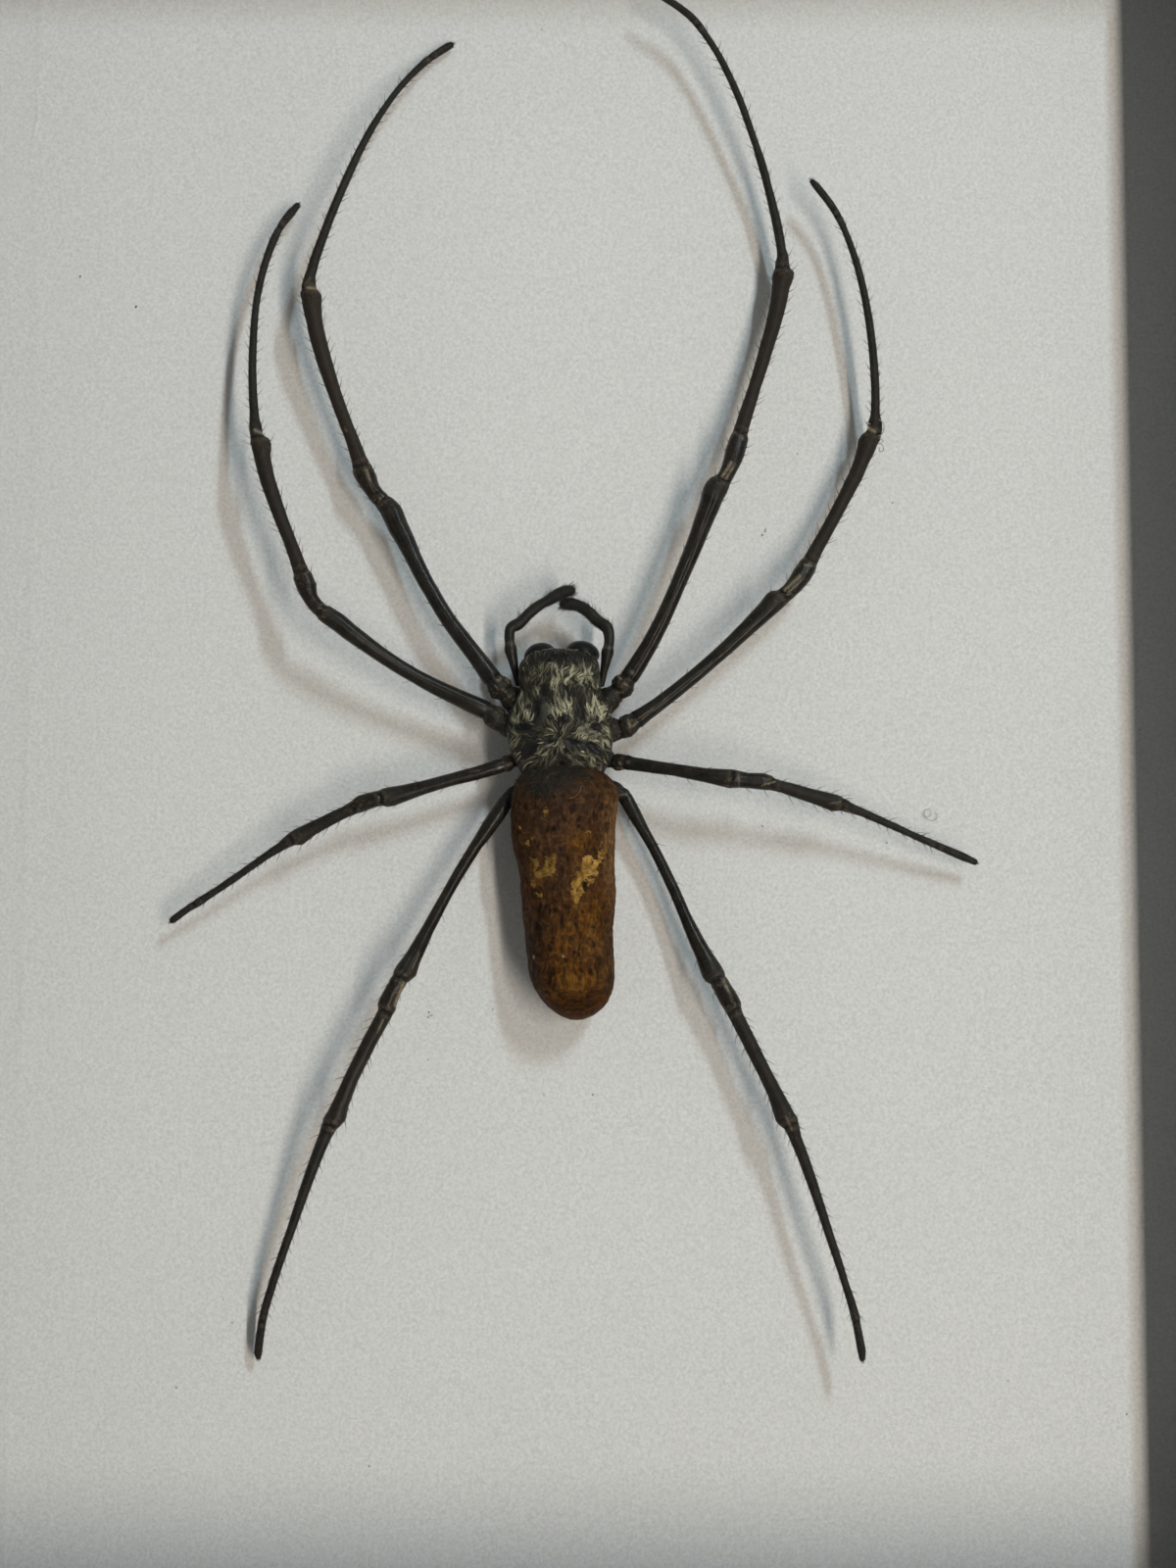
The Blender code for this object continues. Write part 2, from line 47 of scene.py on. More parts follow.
# ------------------------------------------------------------------- camera
FOCAL = 2400.0                               # in pixels of a 1200 x 1600 image
TILT = math.radians(4.59)
CAM = (0.93, -30.2, 279.5)                   # z above the paper
CT, ST = math.cos(TILT), math.sin(TILT)


def spot(px, py, z):
    """mm position of an image point that lies z above the paper."""
    px, py, z = (np.asarray(v, float) for v in (px, py, z))
    t = (CAM[2] - z) / (FOCAL * CT + (py - 800.0) * ST)
    return np.stack(np.broadcast_arrays(
        CAM[0] + t * (px - 600.0),
        CAM[1] + t * (FOCAL * ST - (py - 800.0) * CT), z), -1)


def pix(v):
    """Image position of mm points (z above the paper)."""
    dx, dy, dz = v[..., 0] - CAM[0], v[..., 1] - CAM[1], v[..., 2] - CAM[2]
    dep = dy * ST - dz * CT
    return 600 + FOCAL * dx / dep, 800 - FOCAL * (dy * CT + dz * ST) / dep


cam_data = bpy.data.cameras.new("camera")
cam_data.sensor_fit = "VERTICAL"
cam_data.sensor_height = 32.0
cam_data.lens = 32.0 * FOCAL / 1600.0
cam_data.clip_start = 0.01
cam_data.clip_end = 50.0
cam = bpy.data.objects.new("camera", cam_data)
cam.location = (CAM[0] * MM, CAM[1] * MM, (CAM[2] + PAPER) * MM)
cam.rotation_euler = (TILT, 0, 0)
bpy.context.scene.collection.objects.link(cam)
bpy.context.scene.camera = cam


# -------------------------------------------------------------- mesh helpers
def lattice(ix, iy, iz, seed):
    """Repeatable pseudo-random value in -1..1 for whole-number cells."""
    h = (ix * 374761393 + iy * 668265263 + iz * 2147483647 + seed * 1274126177)
    h = (h ^ (h >> 13)) & 0x7FFFFFFF
    h = (h * 1103515245 + 12345) & 0x7FFFFFFF
    h = (h ^ (h >> 15)) & 0x7FFFFFFF
    h = (h * 1597334677) & 0x7FFFFFFF
    return (h ^ (h >> 16)) / 1073741824.0 - 1.0


def vnoise(p, seed=0):
    """Smooth value noise at points (n, 3), about -1..1."""
    p = np.asarray(p, float)
    f0 = np.floor(p)
    i = f0.astype(np.int64)
    f = p - f0
    f = f * f * f * (f * (f * 6 - 15) + 10)
    out = 0.0
    for dx in (0, 1):
        for dy in (0, 1):
            for dz in (0, 1):
                w = (np.where(dx, f[:, 0], 1 - f[:, 0])
                     * np.where(dy, f[:, 1], 1 - f[:, 1])
                     * np.where(dz, f[:, 2], 1 - f[:, 2]))
                out = out + w * lattice(i[:, 0] + dx, i[:, 1] + dy,
                                        i[:, 2] + dz, seed)
    return out


def fbm(p, octaves=4, seed=0, gain=0.5):
    p = np.asarray(p, float)
    amp, total, norm = 1.0, 0.0, 0.0
    for k in range(octaves):
        total = total + amp * vnoise(p * 2.0 ** k + 17.3 * k, seed + k)
        norm += amp
        amp *= gain
    return total / norm


def smooth(a, b, x):
    t = np.clip((np.asarray(x, float) - a) / (b - a), 0, 1)
    return t * t * (3 - 2 * t)


def spline(points, t):
    """Points at 0..1 on a smooth curve through the points (vector t)."""
    p = np.asarray(points, float)
    t = np.atleast_1d(np.asarray(t, float))
    if len(p) == 2:
        return p[0] + (p[1] - p[0]) * t[:, None]
    d = np.r_[0, np.cumsum(np.linalg.norm(np.diff(p, axis=0), axis=1))]
    u = t * d[-1]
    m = np.zeros_like(p)
    m[0] = (p[1] - p[0]) / (d[1] - d[0])
    m[-1] = (p[-1] - p[-2]) / (d[-1] - d[-2])
    for i in range(1, len(p) - 1):
        a = (p[i] - p[i - 1]) / (d[i] - d[i - 1])
        b = (p[i + 1] - p[i]) / (d[i + 1] - d[i])
        w = (d[i] - d[i - 1]) / (d[i + 1] - d[i - 1])
        m[i] = a * (1 - w) + b * w
    k = np.clip(np.searchsorted(d, u, side="right") - 1, 0, len(p) - 2)
    h = (d[k + 1] - d[k])[:, None]
    s = (u - d[k])[:, None] / h
    return ((2 * s ** 3 - 3 * s ** 2 + 1) * p[k]
            + (s ** 3 - 2 * s ** 2 + s) * h * m[k]
            + (-2 * s ** 3 + 3 * s ** 2) * p[k + 1]
            + (s ** 3 - s ** 2) * h * m[k + 1])


def knots(table, t):
    """Smooth-stepped value at t through (t, value) pairs."""
    x = np.array([k[0] for k in table])
    y = np.array([k[1] for k in table])
    t = np.asarray(t, float)
    k = np.clip(np.searchsorted(x, t, side="right") - 1, 0, len(x) - 2)
    f = np.clip((t - x[k]) / (x[k + 1] - x[k]), 0, 1)
    f = f * f * (3 - 2 * f)
    return y[k] + (y[k + 1] - y[k]) * f


def curve(table, t):
    """Value at t on a smooth curve (no steps) through (t, value) pairs."""
    x = np.array([k[0] for k in table], float)
    y = np.array([k[1] for k in table], float)
    t = np.asarray(t, float)
    m = np.gradient(y, x)
    k = np.clip(np.searchsorted(x, t, side="right") - 1, 0, len(x) - 2)
    h = x[k + 1] - x[k]
    s = np.clip((t - x[k]) / h, 0, 1)
    return ((2 * s ** 3 - 3 * s ** 2 + 1) * y[k]
            + (s ** 3 - 2 * s ** 2 + s) * h * m[k]
            + (-2 * s ** 3 + 3 * s ** 2) * y[k + 1]
            + (s ** 3 - s ** 2) * h * m[k + 1])


def make(name, verts, quads=(), tris=(), mats=(), attrs=None, smoothed=True,
         slots=None):
    """Object from mm vertices (z above the paper) and index arrays."""
    v = np.asarray(verts, float) * MM
    v[:, 2] += PAPER * MM
    quads = np.asarray(quads, np.int64).reshape(-1, 4)
    tris = np.asarray(tris, np.int64).reshape(-1, 3)
    me = bpy.data.meshes.new(name)
    me.vertices.add(len(v))
    me.vertices.foreach_set("co", v.astype(np.float32).ravel())
    loops = np.concatenate([quads.ravel(), tris.ravel()])
    me.loops.add(len(loops))
    me.loops.foreach_set("vertex_index", loops.astype(np.int32))
    nq, nt = len(quads), len(tris)
    starts = np.concatenate([np.arange(nq) * 4, nq * 4 + np.arange(nt) * 3])
    me.polygons.add(nq + nt)
    me.polygons.foreach_set("loop_start", starts.astype(np.int32))
    me.update(calc_edges=True)
    me.validate()
    for m in (mats if isinstance(mats, (list, tuple)) else [mats]):
        me.materials.append(m)
    if slots is not None:
        me.polygons.foreach_set("material_index", np.asarray(slots, np.int32))
    for key, val in (attrs or {}).items():
        a = me.attributes.new(key, "FLOAT", "POINT")
        a.data.foreach_set("value", np.asarray(val, np.float32))
    if smoothed:
        me.shade_smooth()
    ob = bpy.data.objects.new(name, me)
    bpy.context.scene.collection.objects.link(ob)
    return ob


def grid_quads(rows, cols, wrap=False, base=0):
    """Quads of a rows x cols vertex grid; wrap closes it along columns."""
    i = np.arange(rows - 1)[:, None]
    j = np.arange(cols if wrap else cols - 1)[None, :]
    j2 = (j + 1) % cols
    q = np.stack(np.broadcast_arrays(i * cols + j, (i + 1) * cols + j,
                                     (i + 1) * cols + j2, i * cols + j2), -1)
    return q.reshape(-1, 4) + base


def frames(p):
    """Tangent, side and up vectors along a mostly level path."""
    t = np.gradient(p, axis=0)
    t /= np.linalg.norm(t, axis=1)[:, None]
    s = np.cross(t, (0.0, 0.0, 1.0))
    s /= np.linalg.norm(s, axis=1)[:, None]
    return t, s, np.cross(s, t)


def strands(paths, radii, sides=3, flat=1.0, ref=(0.0, 0.0, 1.0)):
    """Closed thin tubes.  paths (n, k, 3), radii (n, k) in mm.
    Returns verts, quads, tris."""
    paths = np.asarray(paths, float)
    n, k, _ = paths.shape
    t = np.gradient(paths, axis=1)
    t /= np.linalg.norm(t, axis=2, keepdims=True) + 1e-9
    ref = np.broadcast_to(np.asarray(ref, float), t.shape)
    s = np.cross(t, ref)
    ln = np.linalg.norm(s, axis=2, keepdims=True)
    s = np.where(ln > 0.05, s / (ln + 1e-9), np.cross(t, (1.0, 0.0, 0.0)))
    s /= np.linalg.norm(s, axis=2, keepdims=True) + 1e-9
    u = np.cross(s, t)
    a = 2 * np.pi * np.arange(sides) / sides + np.pi / 2
    ring = (paths[:, :, None, :]
            + radii[:, :, None, None] * (np.cos(a)[:, None] * s[:, :, None, :]
                                         + flat * np.sin(a)[:, None] * u[:, :, None, :]))
    verts = ring.reshape(-1, 3)
    base = (np.arange(n) * k * sides)[:, None]
    q = grid_quads(k, sides, wrap=True)
    quads = (base[:, :, None] + q[None]).reshape(-1, 4)
    tris = []
    if sides == 3:
        tris = np.concatenate([base + np.array([[0, 1, 2]]),
                               base + (k - 1) * sides + np.array([[2, 1, 0]])])
    else:
        lo = [[0, j, j + 1] for j in range(1, sides - 1)]
        hi = [[0, j + 1, j] for j in range(1, sides - 1)]
        tris = np.concatenate(
            [(base[:, :, None] + np.array(lo)[None]).reshape(-1, 3),
             (base[:, :, None] + (k - 1) * sides + np.array(hi)[None]).reshape(-1, 3)])
    return verts, quads, tris


class Pile:
    """Collects parts of one joined mesh."""

    def __init__(self):
        self.v, self.q, self.t, self.a, self.n = [], [], [], {}, 0

    def add(self, v, q=(), t=(), **attrs):
        v = np.asarray(v, float)
        q = np.asarray(q, np.int64).reshape(-1, 4)
        t = np.asarray(t, np.int64).reshape(-1, 3)
        self.v.append(v)
        self.q.append(q + self.n)
        self.t.append(t + self.n)
        for key, val in attrs.items():
            self.a.setdefault(key, []).append(np.broadcast_to(
                np.asarray(val, float), (len(v),)))
        self.n += len(v)

    def object(self, name, mats, smoothed=True):
        attrs = {k: np.concatenate(x) for k, x in self.a.items()}
        return make(name, np.concatenate(self.v), np.concatenate(self.q),
                    np.concatenate(self.t), mats, attrs, smoothed)


def blob(centre, radii, seg=14, rings=9, turn=0.0, power=2.0):
    """Rounded closed lump."""
    th = np.pi * (np.arange(rings) + 0.5) / rings
    ph = 2 * np.pi * np.arange(seg) / seg
    z = -np.cos(th)
    w = (1 - np.abs(z) ** power) ** (1 / power)
    v = np.stack([w[:, None] * np.cos(ph)[None] * radii[0],
                  w[:, None] * np.sin(ph)[None] * radii[1],
                  np.repeat(z[:, None] * radii[2], seg, 1)], -1).reshape(-1, 3)
    c, s = math.cos(turn), math.sin(turn)
    v = v @ np.array([[c, s, 0], [-s, c, 0], [0, 0, 1.0]])
    q = grid_quads(rings, seg, wrap=True)[:, ::-1]
    n = len(v)
    v = np.vstack([v, [0, 0, -radii[2]], [0, 0, radii[2]]]) + np.asarray(centre)
    j = np.arange(seg)
    t = np.concatenate([
        np.stack([np.full(seg, n), (j + 1) % seg, j], -1),
        np.stack([np.full(seg, n + 1), (rings - 1) * seg + j,
                  (rings - 1) * seg + (j + 1) % seg], -1)])
    return v, q, t


# ---------------------------------------------------------- material helpers
class Mat:
    """A Principled material with short-hand for its nodes."""

    def __init__(self, name, rough=0.5, metal=0.0):
        self.m = bpy.data.materials.new(name)
        self.m.use_nodes = True
        self.nt = self.m.node_tree
        self.b = self.nt.nodes["Principled BSDF"]
        self.b.inputs["Roughness"].default_value = rough
        self.b.inputs["Metallic"].default_value = metal
        self.tc = self.nt.nodes.new("ShaderNodeTexCoord")

    def link(self, a, b):
        self.nt.links.new(a, b)

    def place(self, scale=(1, 1, 1), rot=(0, 0, 0)):
        """Object coordinates in millimetres, scaled."""
        n = self.nt.nodes.new("ShaderNodeMapping")
        n.inputs["Scale"].default_value = tuple(1000.0 * s for s in scale)
        n.inputs["Rotation"].default_value = rot
        self.link(self.tc.outputs["Object"], n.inputs["Vector"])
        return n.outputs["Vector"]

    def noise(self, scale=1.0, detail=3.0, rough=0.5, vec=None, dist=0.0):
        n = self.nt.nodes.new("ShaderNodeTexNoise")
        n.inputs["Scale"].default_value = scale
        n.inputs["Detail"].default_value = detail
        n.inputs["Roughness"].default_value = rough
        n.inputs["Distortion"].default_value = dist
        self.link(vec if vec is not None else self.place(), n.inputs["Vector"])
        return n.outputs["Fac"]

    def voronoi(self, scale=1.0, feature="F1", vec=None, out="Distance"):
        n = self.nt.nodes.new("ShaderNodeTexVoronoi")
        n.feature = feature
        n.inputs["Scale"].default_value = scale
        self.link(vec if vec is not None else self.place(), n.inputs["Vector"])
        return n.outputs[out]

    def ramp(self, fac, stops):
        n = self.nt.nodes.new("ShaderNodeValToRGB")
        cr = n.color_ramp
        while len(cr.elements) < len(stops):
            cr.elements.new(0.5)
        for e, (pos, col) in zip(cr.elements, stops):
            e.position = pos
            e.color = (*col, 1.0) if len(col) == 3 else col
        self.link(fac, n.inputs["Fac"])
        return n.outputs["Color"]

    def grey(self, fac, lo, hi, a=0.0, b=1.0):
        n = self.nt.nodes.new("ShaderNodeMapRange")
        n.interpolation_type = "SMOOTHSTEP"
        for key, val in (("From Min", lo), ("From Max", hi), ("To Min", a),
                         ("To Max", b)):
            n.inputs[key].default_value = val
        self.link(fac, n.inputs["Value"])
        return n.outputs["Result"]

    def math(self, op, a, b=None, clamp=False):
        n = self.nt.nodes.new("ShaderNodeMath")
        n.operation = op
        n.use_clamp = clamp
        for i, v in enumerate((a, b)):
            if v is None:
                continue
            if isinstance(v, (int, float)):
                n.inputs[i].default_value = v
            else:
                self.link(v, n.inputs[i])
        return n.outputs[0]

    def mix(self, fac, a, b, mode="MIX"):
        n = self.nt.nodes.new("ShaderNodeMix")
        n.data_type = "RGBA"
        n.blend_type = mode
        for key, v in ((0, fac), (6, a), (7, b)):
            if isinstance(v, (int, float)):
                n.inputs[key].default_value = v
            elif isinstance(v, tuple):
                n.inputs[key].default_value = (*v, 1.0)
            else:
                self.link(v, n.inputs[key])
        return n.outputs[2]

    def attr(self, name):
        n = self.nt.nodes.new("ShaderNodeAttribute")
        n.attribute_name = name
        return n.outputs["Fac"]

    def bump(self, height, strength=0.3, distance=0.0001):
        n = self.nt.nodes.new("ShaderNodeBump")
        n.inputs["Strength"].default_value = strength
        n.inputs["Distance"].default_value = distance
        self.link(height, n.inputs["Height"])
        self.link(n.outputs["Normal"], self.b.inputs["Normal"])

    def colour(self, out):
        self.link(out, self.b.inputs["Base Color"])

    def rough(self, out):
        self.link(out, self.b.inputs["Roughness"])


def show(node, *mats):
    """New material on a carried-over node."""
    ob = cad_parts[node]
    ob.data.materials.clear()
    for m in mats:
        ob.data.materials.append(m)


# ------------------------------------------------------------ frame materials
def black_wood(name, along):
    m = Mat(name, 0.4)
    sx, sy = (0.05, 1.6) if along == "x" else (1.6, 0.05)
    grain = m.noise(1.0, 6.0, 0.62, m.place((sx, sy, 1.6)), dist=0.3)
    pores = m.noise(1.0, 2.0, 0.5, m.place((sx * 3, sy * 3, 5.0)))
    blot = m.noise(0.06, 2.0)
    base = m.ramp(grain, [(0.30, (0.0075, 0.0070, 0.0068)),
                          (0.62, (0.0150, 0.0140, 0.0132)),
                          (0.85, (0.0270, 0.0240, 0.0215))])
    m.colour(m.mix(m.grey(blot, 0.4, 0.7, 0.0, 0.5), base, (0.012, 0.011, 0.011)))
    m.rough(m.math("ADD", m.grey(grain, 0.3, 0.8, 0.30, 0.44),
                   m.grey(pores, 0.55, 0.8, 0.0, 0.12)))
    m.bump(m.math("ADD", m.math("MULTIPLY", grain, 0.6), pores), 0.25, 0.00012)
    m.b.inputs["Coat Weight"].default_value = 0.25
    m.b.inputs["Coat Roughness"].default_value = 0.22
    return m.m


wood_x = black_wood("black_wood_x", "x")
wood_y = black_wood("black_wood_y", "y")
for node in ("rail_top", "rail_bottom"):
    show(node, wood_x)
for node in ("rail_left", "rail_right"):
    show(node, wood_y)

m = Mat("black_strip", 0.85)
fine = m.noise(3.0, 4.0, 0.6)
m.colour(m.ramp(fine, [(0.3, (0.006, 0.006, 0.006)), (0.75, (0.020, 0.019, 0.019))]))
m.rough(m.grey(fine, 0.3, 0.8, 0.75, 0.95))
m.bump(fine, 0.5, 0.0002)
for side in ("left", "right", "top", "bottom"):
    show("spacer_" + side, m.m)


def clear_glass():
    """Clear pane: mirrors more the flatter it is seen (Schlick, the same from
    both sides, as nothing bends), otherwise lets everything straight
    through with a faint green-grey tint, so what lies under it is lit as it
    is through a real thin pane."""
    mt = bpy.data.materials.new("clear_glass")
    mt.use_nodes = True
    nt = mt.node_tree
    nt.nodes.clear()
    out = nt.nodes.new("ShaderNodeOutputMaterial")
    mixs = nt.nodes.new("ShaderNodeMixShader")
    lw = nt.nodes.new("ShaderNodeLayerWeight")
    lw.inputs["Blend"].default_value = 0.5
    steep = nt.nodes.new("ShaderNodeMath")
    steep.operation = "POWER"
    steep.inputs[1].default_value = 5.0
    fres = nt.nodes.new("ShaderNodeMapRange")
    fres.inputs["To Min"].default_value = 0.04
    nt.links.new(lw.outputs["Facing"], steep.inputs[0])
    nt.links.new(steep.outputs[0], fres.inputs["Value"])
    tr = nt.nodes.new("ShaderNodeBsdfTransparent")
    gl = nt.nodes.new("ShaderNodeBsdfGlossy")
    tc = nt.nodes.new("ShaderNodeTexCoord")
    mp = nt.nodes.new("ShaderNodeMapping")
    mp.inputs["Scale"].default_value = (60, 60, 60)
    nz = nt.nodes.new("ShaderNodeTexNoise")
    nz.inputs["Scale"].default_value = 1.0
    nz.inputs["Detail"].default_value = 4.0
    ramp = nt.nodes.new("ShaderNodeValToRGB")
    ramp.color_ramp.elements[0].color = (0.968, 0.975, 0.970, 1)
    ramp.color_ramp.elements[1].color = (0.985, 0.990, 0.986, 1)
    rr = nt.nodes.new("ShaderNodeMapRange")
    rr.inputs["From Min"].default_value = 0.35
    rr.inputs["From Max"].default_value = 0.75
    rr.inputs["To Min"].default_value = 0.015
    rr.inputs["To Max"].default_value = 0.05
    gl.inputs["Color"].default_value = (1, 1, 1, 1)
    nt.links.new(tc.outputs["Object"], mp.inputs["Vector"])
    nt.links.new(mp.outputs["Vector"], nz.inputs["Vector"])
    nt.links.new(nz.outputs["Fac"], ramp.inputs["Fac"])
    nt.links.new(nz.outputs["Fac"], rr.inputs["Value"])
    nt.links.new(rr.outputs["Result"], gl.inputs["Roughness"])
    nt.links.new(ramp.outputs["Color"], tr.inputs["Color"])
    nt.links.new(fres.outputs["Result"], mixs.inputs["Fac"])
    nt.links.new(tr.outputs["BSDF"], mixs.inputs[1])
    nt.links.new(gl.outputs["BSDF"], mixs.inputs[2])
    nt.links.new(mixs.outputs["Shader"], out.inputs["Surface"])
    return mt


show("glass_pane", clear_glass())

m = Mat("white_foam_board", 0.8)
cells = m.noise(2.5, 3.0)
m.colour(m.ramp(cells, [(0.3, (0.70, 0.70, 0.67)), (0.7, (0.82, 0.82, 0.80))]))
m.bump(cells, 0.3, 0.0001)
show("foam_board", m.m)

m = Mat("brown_hardboard", 0.72)
fibre = m.noise(1.0, 6.0, 0.65, m.place((0.5, 1.8, 1.0)), dist=1.2)
flecks = m.noise(4.0, 3.0, 0.5)
base = m.ramp(fibre, [(0.25, (0.105, 0.055, 0.026)), (0.5, (0.195, 0.108, 0.055)),
                      (0.8, (0.300, 0.185, 0.105))])
m.colour(m.mix(m.grey(flecks, 0.62, 0.75, 0.0, 0.55), base, (0.07, 0.036, 0.018)))
m.rough(m.grey(fibre, 0.3, 0.8, 0.55, 0.8))
m.bump(fibre, 0.35, 0.0002)
show("back_board", m.m)

m = Mat("zinc_steel", 0.4, 1.0)
spangle = m.voronoi(0.7, out="Color")
scr = m.noise(1.0, 4.0, 0.6, m.place((0.6, 8.0, 3.0)))
sep = m.nt.nodes.new("ShaderNodeSeparateColor")
m.link(spangle, sep.inputs["Color"])
m.colour(m.ramp(sep.outputs["Red"], [(0.0, (0.40, 0.41, 0.41)), (1.0, (0.62, 0.62, 0.60))]))
m.rough(m.grey(scr, 0.3, 0.75, 0.30, 0.52))
m.bump(scr, 0.15, 0.00005)
zinc = m.m
for node in ("point_top", "point_bottom", "point_left_1", "point_left_2",
             "point_right_1", "point_right_2", "hanger_nail_left",
             "hanger_nail_right"):
    show(node, zinc)

m = Mat("brass_plate", 0.32, 1.0)
scr = m.noise(1.0, 5.0, 0.6, m.place((0.4, 9.0, 3.0)))
tarn = m.noise(0.35, 4.0, 0.55)
m.colour(m.mix(m.grey(tarn, 0.48, 0.72, 0.0, 0.8), (0.66, 0.47, 0.19), (0.34, 0.22, 0.09)))
m.rough(m.grey(scr, 0.3, 0.75, 0.22, 0.45))
m.bump(scr, 0.12, 0.00005)
show("sawtooth_hanger", m.m)

m = Mat("clear_glue", 0.22)
cloud = m.noise(1.2, 4.0)
m.colour(m.ramp(cloud, [(0.3, (0.36, 0.31, 0.20)), (0.75, (0.58, 0.53, 0.41))]))
m.rough(m.grey(cloud, 0.3, 0.8, 0.15, 0.4))
m.bump(cloud, 0.4, 0.0003)
show("glue_dab", m.m)

# --------------------------------------------------------------------- paper
PW, PL = 146.0 / 2 + 2.7, 199.0 / 2 + 2.7        # half size of the sheet
FOLD = [(43, 0), (38, 150), (38, 300), (34, 500), (30, 700), (24, 1000),
        (15, 1200), (8, 1400)]


def paper_sheet():
    """Backing sheet with a faint pressed fold along its left side and a small
    blister beside it; thickness and edges as the plain sheet."""
    pts = np.array([spot(x, y, 0.0)[:2] for x, y in FOLD])
    ys = np.concatenate([np.arange(-PL, PL, 1.4), [PL]])
    # blister rows are denser
    b0, b1 = spot(38, 170, 0)[1], spot(38, 90, 0)[1]
    ys = np.unique(np.concatenate([ys, np.arange(b0, b1, 0.18)]))
    fx = np.interp(ys, pts[::-1, 1], pts[::-1, 0])
    off = np.concatenate([np.arange(-3.0, 3.01, 0.12)])
    n_l, n_r = 8, 60
    rows = []
    for y, f in zip(ys, fx):
        left = np.linspace(-PW, f - 3.1, n_l)
        right = np.linspace(f + 3.1, PW, n_r)
        rows.append(np.concatenate([left, f + off, right]))
    x = np.array(rows)
    y = np.repeat(ys[:, None], x.shape[1], 1)
    d = x - fx[:, None]
    along = 0.55 + 0.45 * vnoise(np.stack([y.ravel() * 0.06, y.ravel() * 0,
                                           y.ravel() * 0], -1), 5).reshape(y.shape)
    z = 0.045 * along * np.exp(-(d / 0.55) ** 2)
    z += 0.018 * np.exp(-((d - 1.1) / 0.9) ** 2)
    # blister: a shallow raised rim between two image rows
    t = (y - b0) / (b1 - b0)
    arch = np.clip(np.sin(np.pi * np.clip(t, 0, 1)), 0, 1)
    z += 0.045 * arch * np.exp(-((d + 0.35 + 0.30 * np.sin(6.5 * t)) / 0.20) ** 2)
    # slow cockle of the whole sheet, flat at its edges
    edge = (np.clip((PW - np.abs(x)) / 12, 0, 1) * np.clip((PL - np.abs(y)) / 12, 0, 1))
    slow = fbm(np.stack([x.ravel() * 0.02, y.ravel() * 0.02, y.ravel() * 0], -1),
               3, 9).reshape(x.shape)
    z += 0.06 * edge * slow
    z -= z.max() + 0.02
    rows_n, cols_n = x.shape
    v = np.stack([x, y, z], -1).reshape(-1, 3)
    q = grid_quads(rows_n, cols_n)[:, ::-1]
    # skirt and underside
    ring = np.concatenate([
        np.arange(cols_n),
        np.arange(1, rows_n) * cols_n + cols_n - 1,
        (rows_n - 1) * cols_n + np.arange(cols_n - 2, -1, -1),
        np.arange(rows_n - 2, 0, -1) * cols_n])
    low = v[ring].copy()
    low[:, 2] = -0.4
    n0 = len(v)
    v = np.vstack([v, low, [[0, 0, -0.4]]])
    k = np.arange(len(ring))
    k2 = (k + 1) % len(ring)
    skirt = np.stack([ring[k], n0 + k, n0 + k2, ring[k2]], -1)
    fan = np.stack([np.full(len(ring), len(v) - 1), n0 + k2, n0 + k], -1)
    return v, np.vstack([q, skirt]), fan


m = Mat("off_white_paper", 0.9)
tooth = m.noise(2.3, 3.0, 0.7)
mid = m.noise(0.55, 2.0, 0.5)
hairs = m.noise(1.0, 2.0, 0.5, m.place((1.2, 7.0, 1.0), (0, 0, 0.5)), dist=2.0)
grain = m.noise(4.6, 2.0, 0.6)
col = m.mix(m.grey(tooth, 0.30, 0.70), (0.670, 0.665, 0.624), (0.846, 0.839, 0.791))
col = m.mix(m.grey(grain, 0.30, 0.70, 0.0, 0.30), col, (0.80, 0.795, 0.75))
col = m.mix(m.grey(grain, 0.36, 0.62, 0.22, 0.0), col, (0.62, 0.612, 0.57))
col = m.mix(m.grey(mid, 0.30, 0.70, 0.0, 0.25), col, (0.748, 0.738, 0.690))
col = m.mix(m.grey(hairs, 0.66, 0.80, 0.0, 0.25), col, (0.68, 0.67, 0.63))
m.colour(col)
m.b.inputs["Specular IOR Level"].default_value = 0.25
m.bump(m.math("ADD", tooth, m.math("MULTIPLY", mid, 0.6)), 0.28, 0.00010)
v, q, t = paper_sheet()
sheet = make("paper_sheet", v, q, t, m.m)
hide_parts("backing_paper")
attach(sheet, "root")

# ------------------------------------------------ specks and fibres on paper
m = Mat("dark_specks", 0.8)
m.colour(m.ramp(m.noise(6.0, 2.0), [(0.3, (0.03, 0.028, 0.025)), (0.8, (0.13, 0.12, 0.10))]))
speck_mat = m.m
SPECKS = [(139, 313, 2.2), (82, 282, 1.8), (180, 1416, 1.6), (377, 1496, 1.4),
          (228, 1326, 1.3), (237, 1350, 1.2), (1150, 1443, 1.6), (1029, 1409, 1.2),
          (905, 860, 1.6), (1163, 745, 1.5), (438, 1033, 1.8), (437, 1038, 1.5),
          (503, 1030, 1.5), (423, 1073, 1.0), (437, 1081, 1.0), (555, 1117, 1.1),
          (605, 1117, 1.7), (778, 546, 1.7), (814, 463, 1.3), (911, 513, 1.4),
          (778, 843, 1.5), (553, 30, 1.3), (357, 740, 0.9), (640, 1140, 0.9),
          (1042, 678, 1.0), (918, 522, 0.9), (258, 1238, 0.9), (1008, 1180, 0.9)]
pile = Pile()
for x, y, r in SPECKS:
    p = spot(x, y, 0.0)
    r = r / 8.6 * 0.55
    v, q, t = blob((p[0], p[1], 0.03), (r * rng.uniform(0.8, 1.2),
                                        r * rng.uniform(0.5, 0.9), 0.05),
                   8, 4, rng.uniform(0, 3.1))
    pile.add(v, q, t)
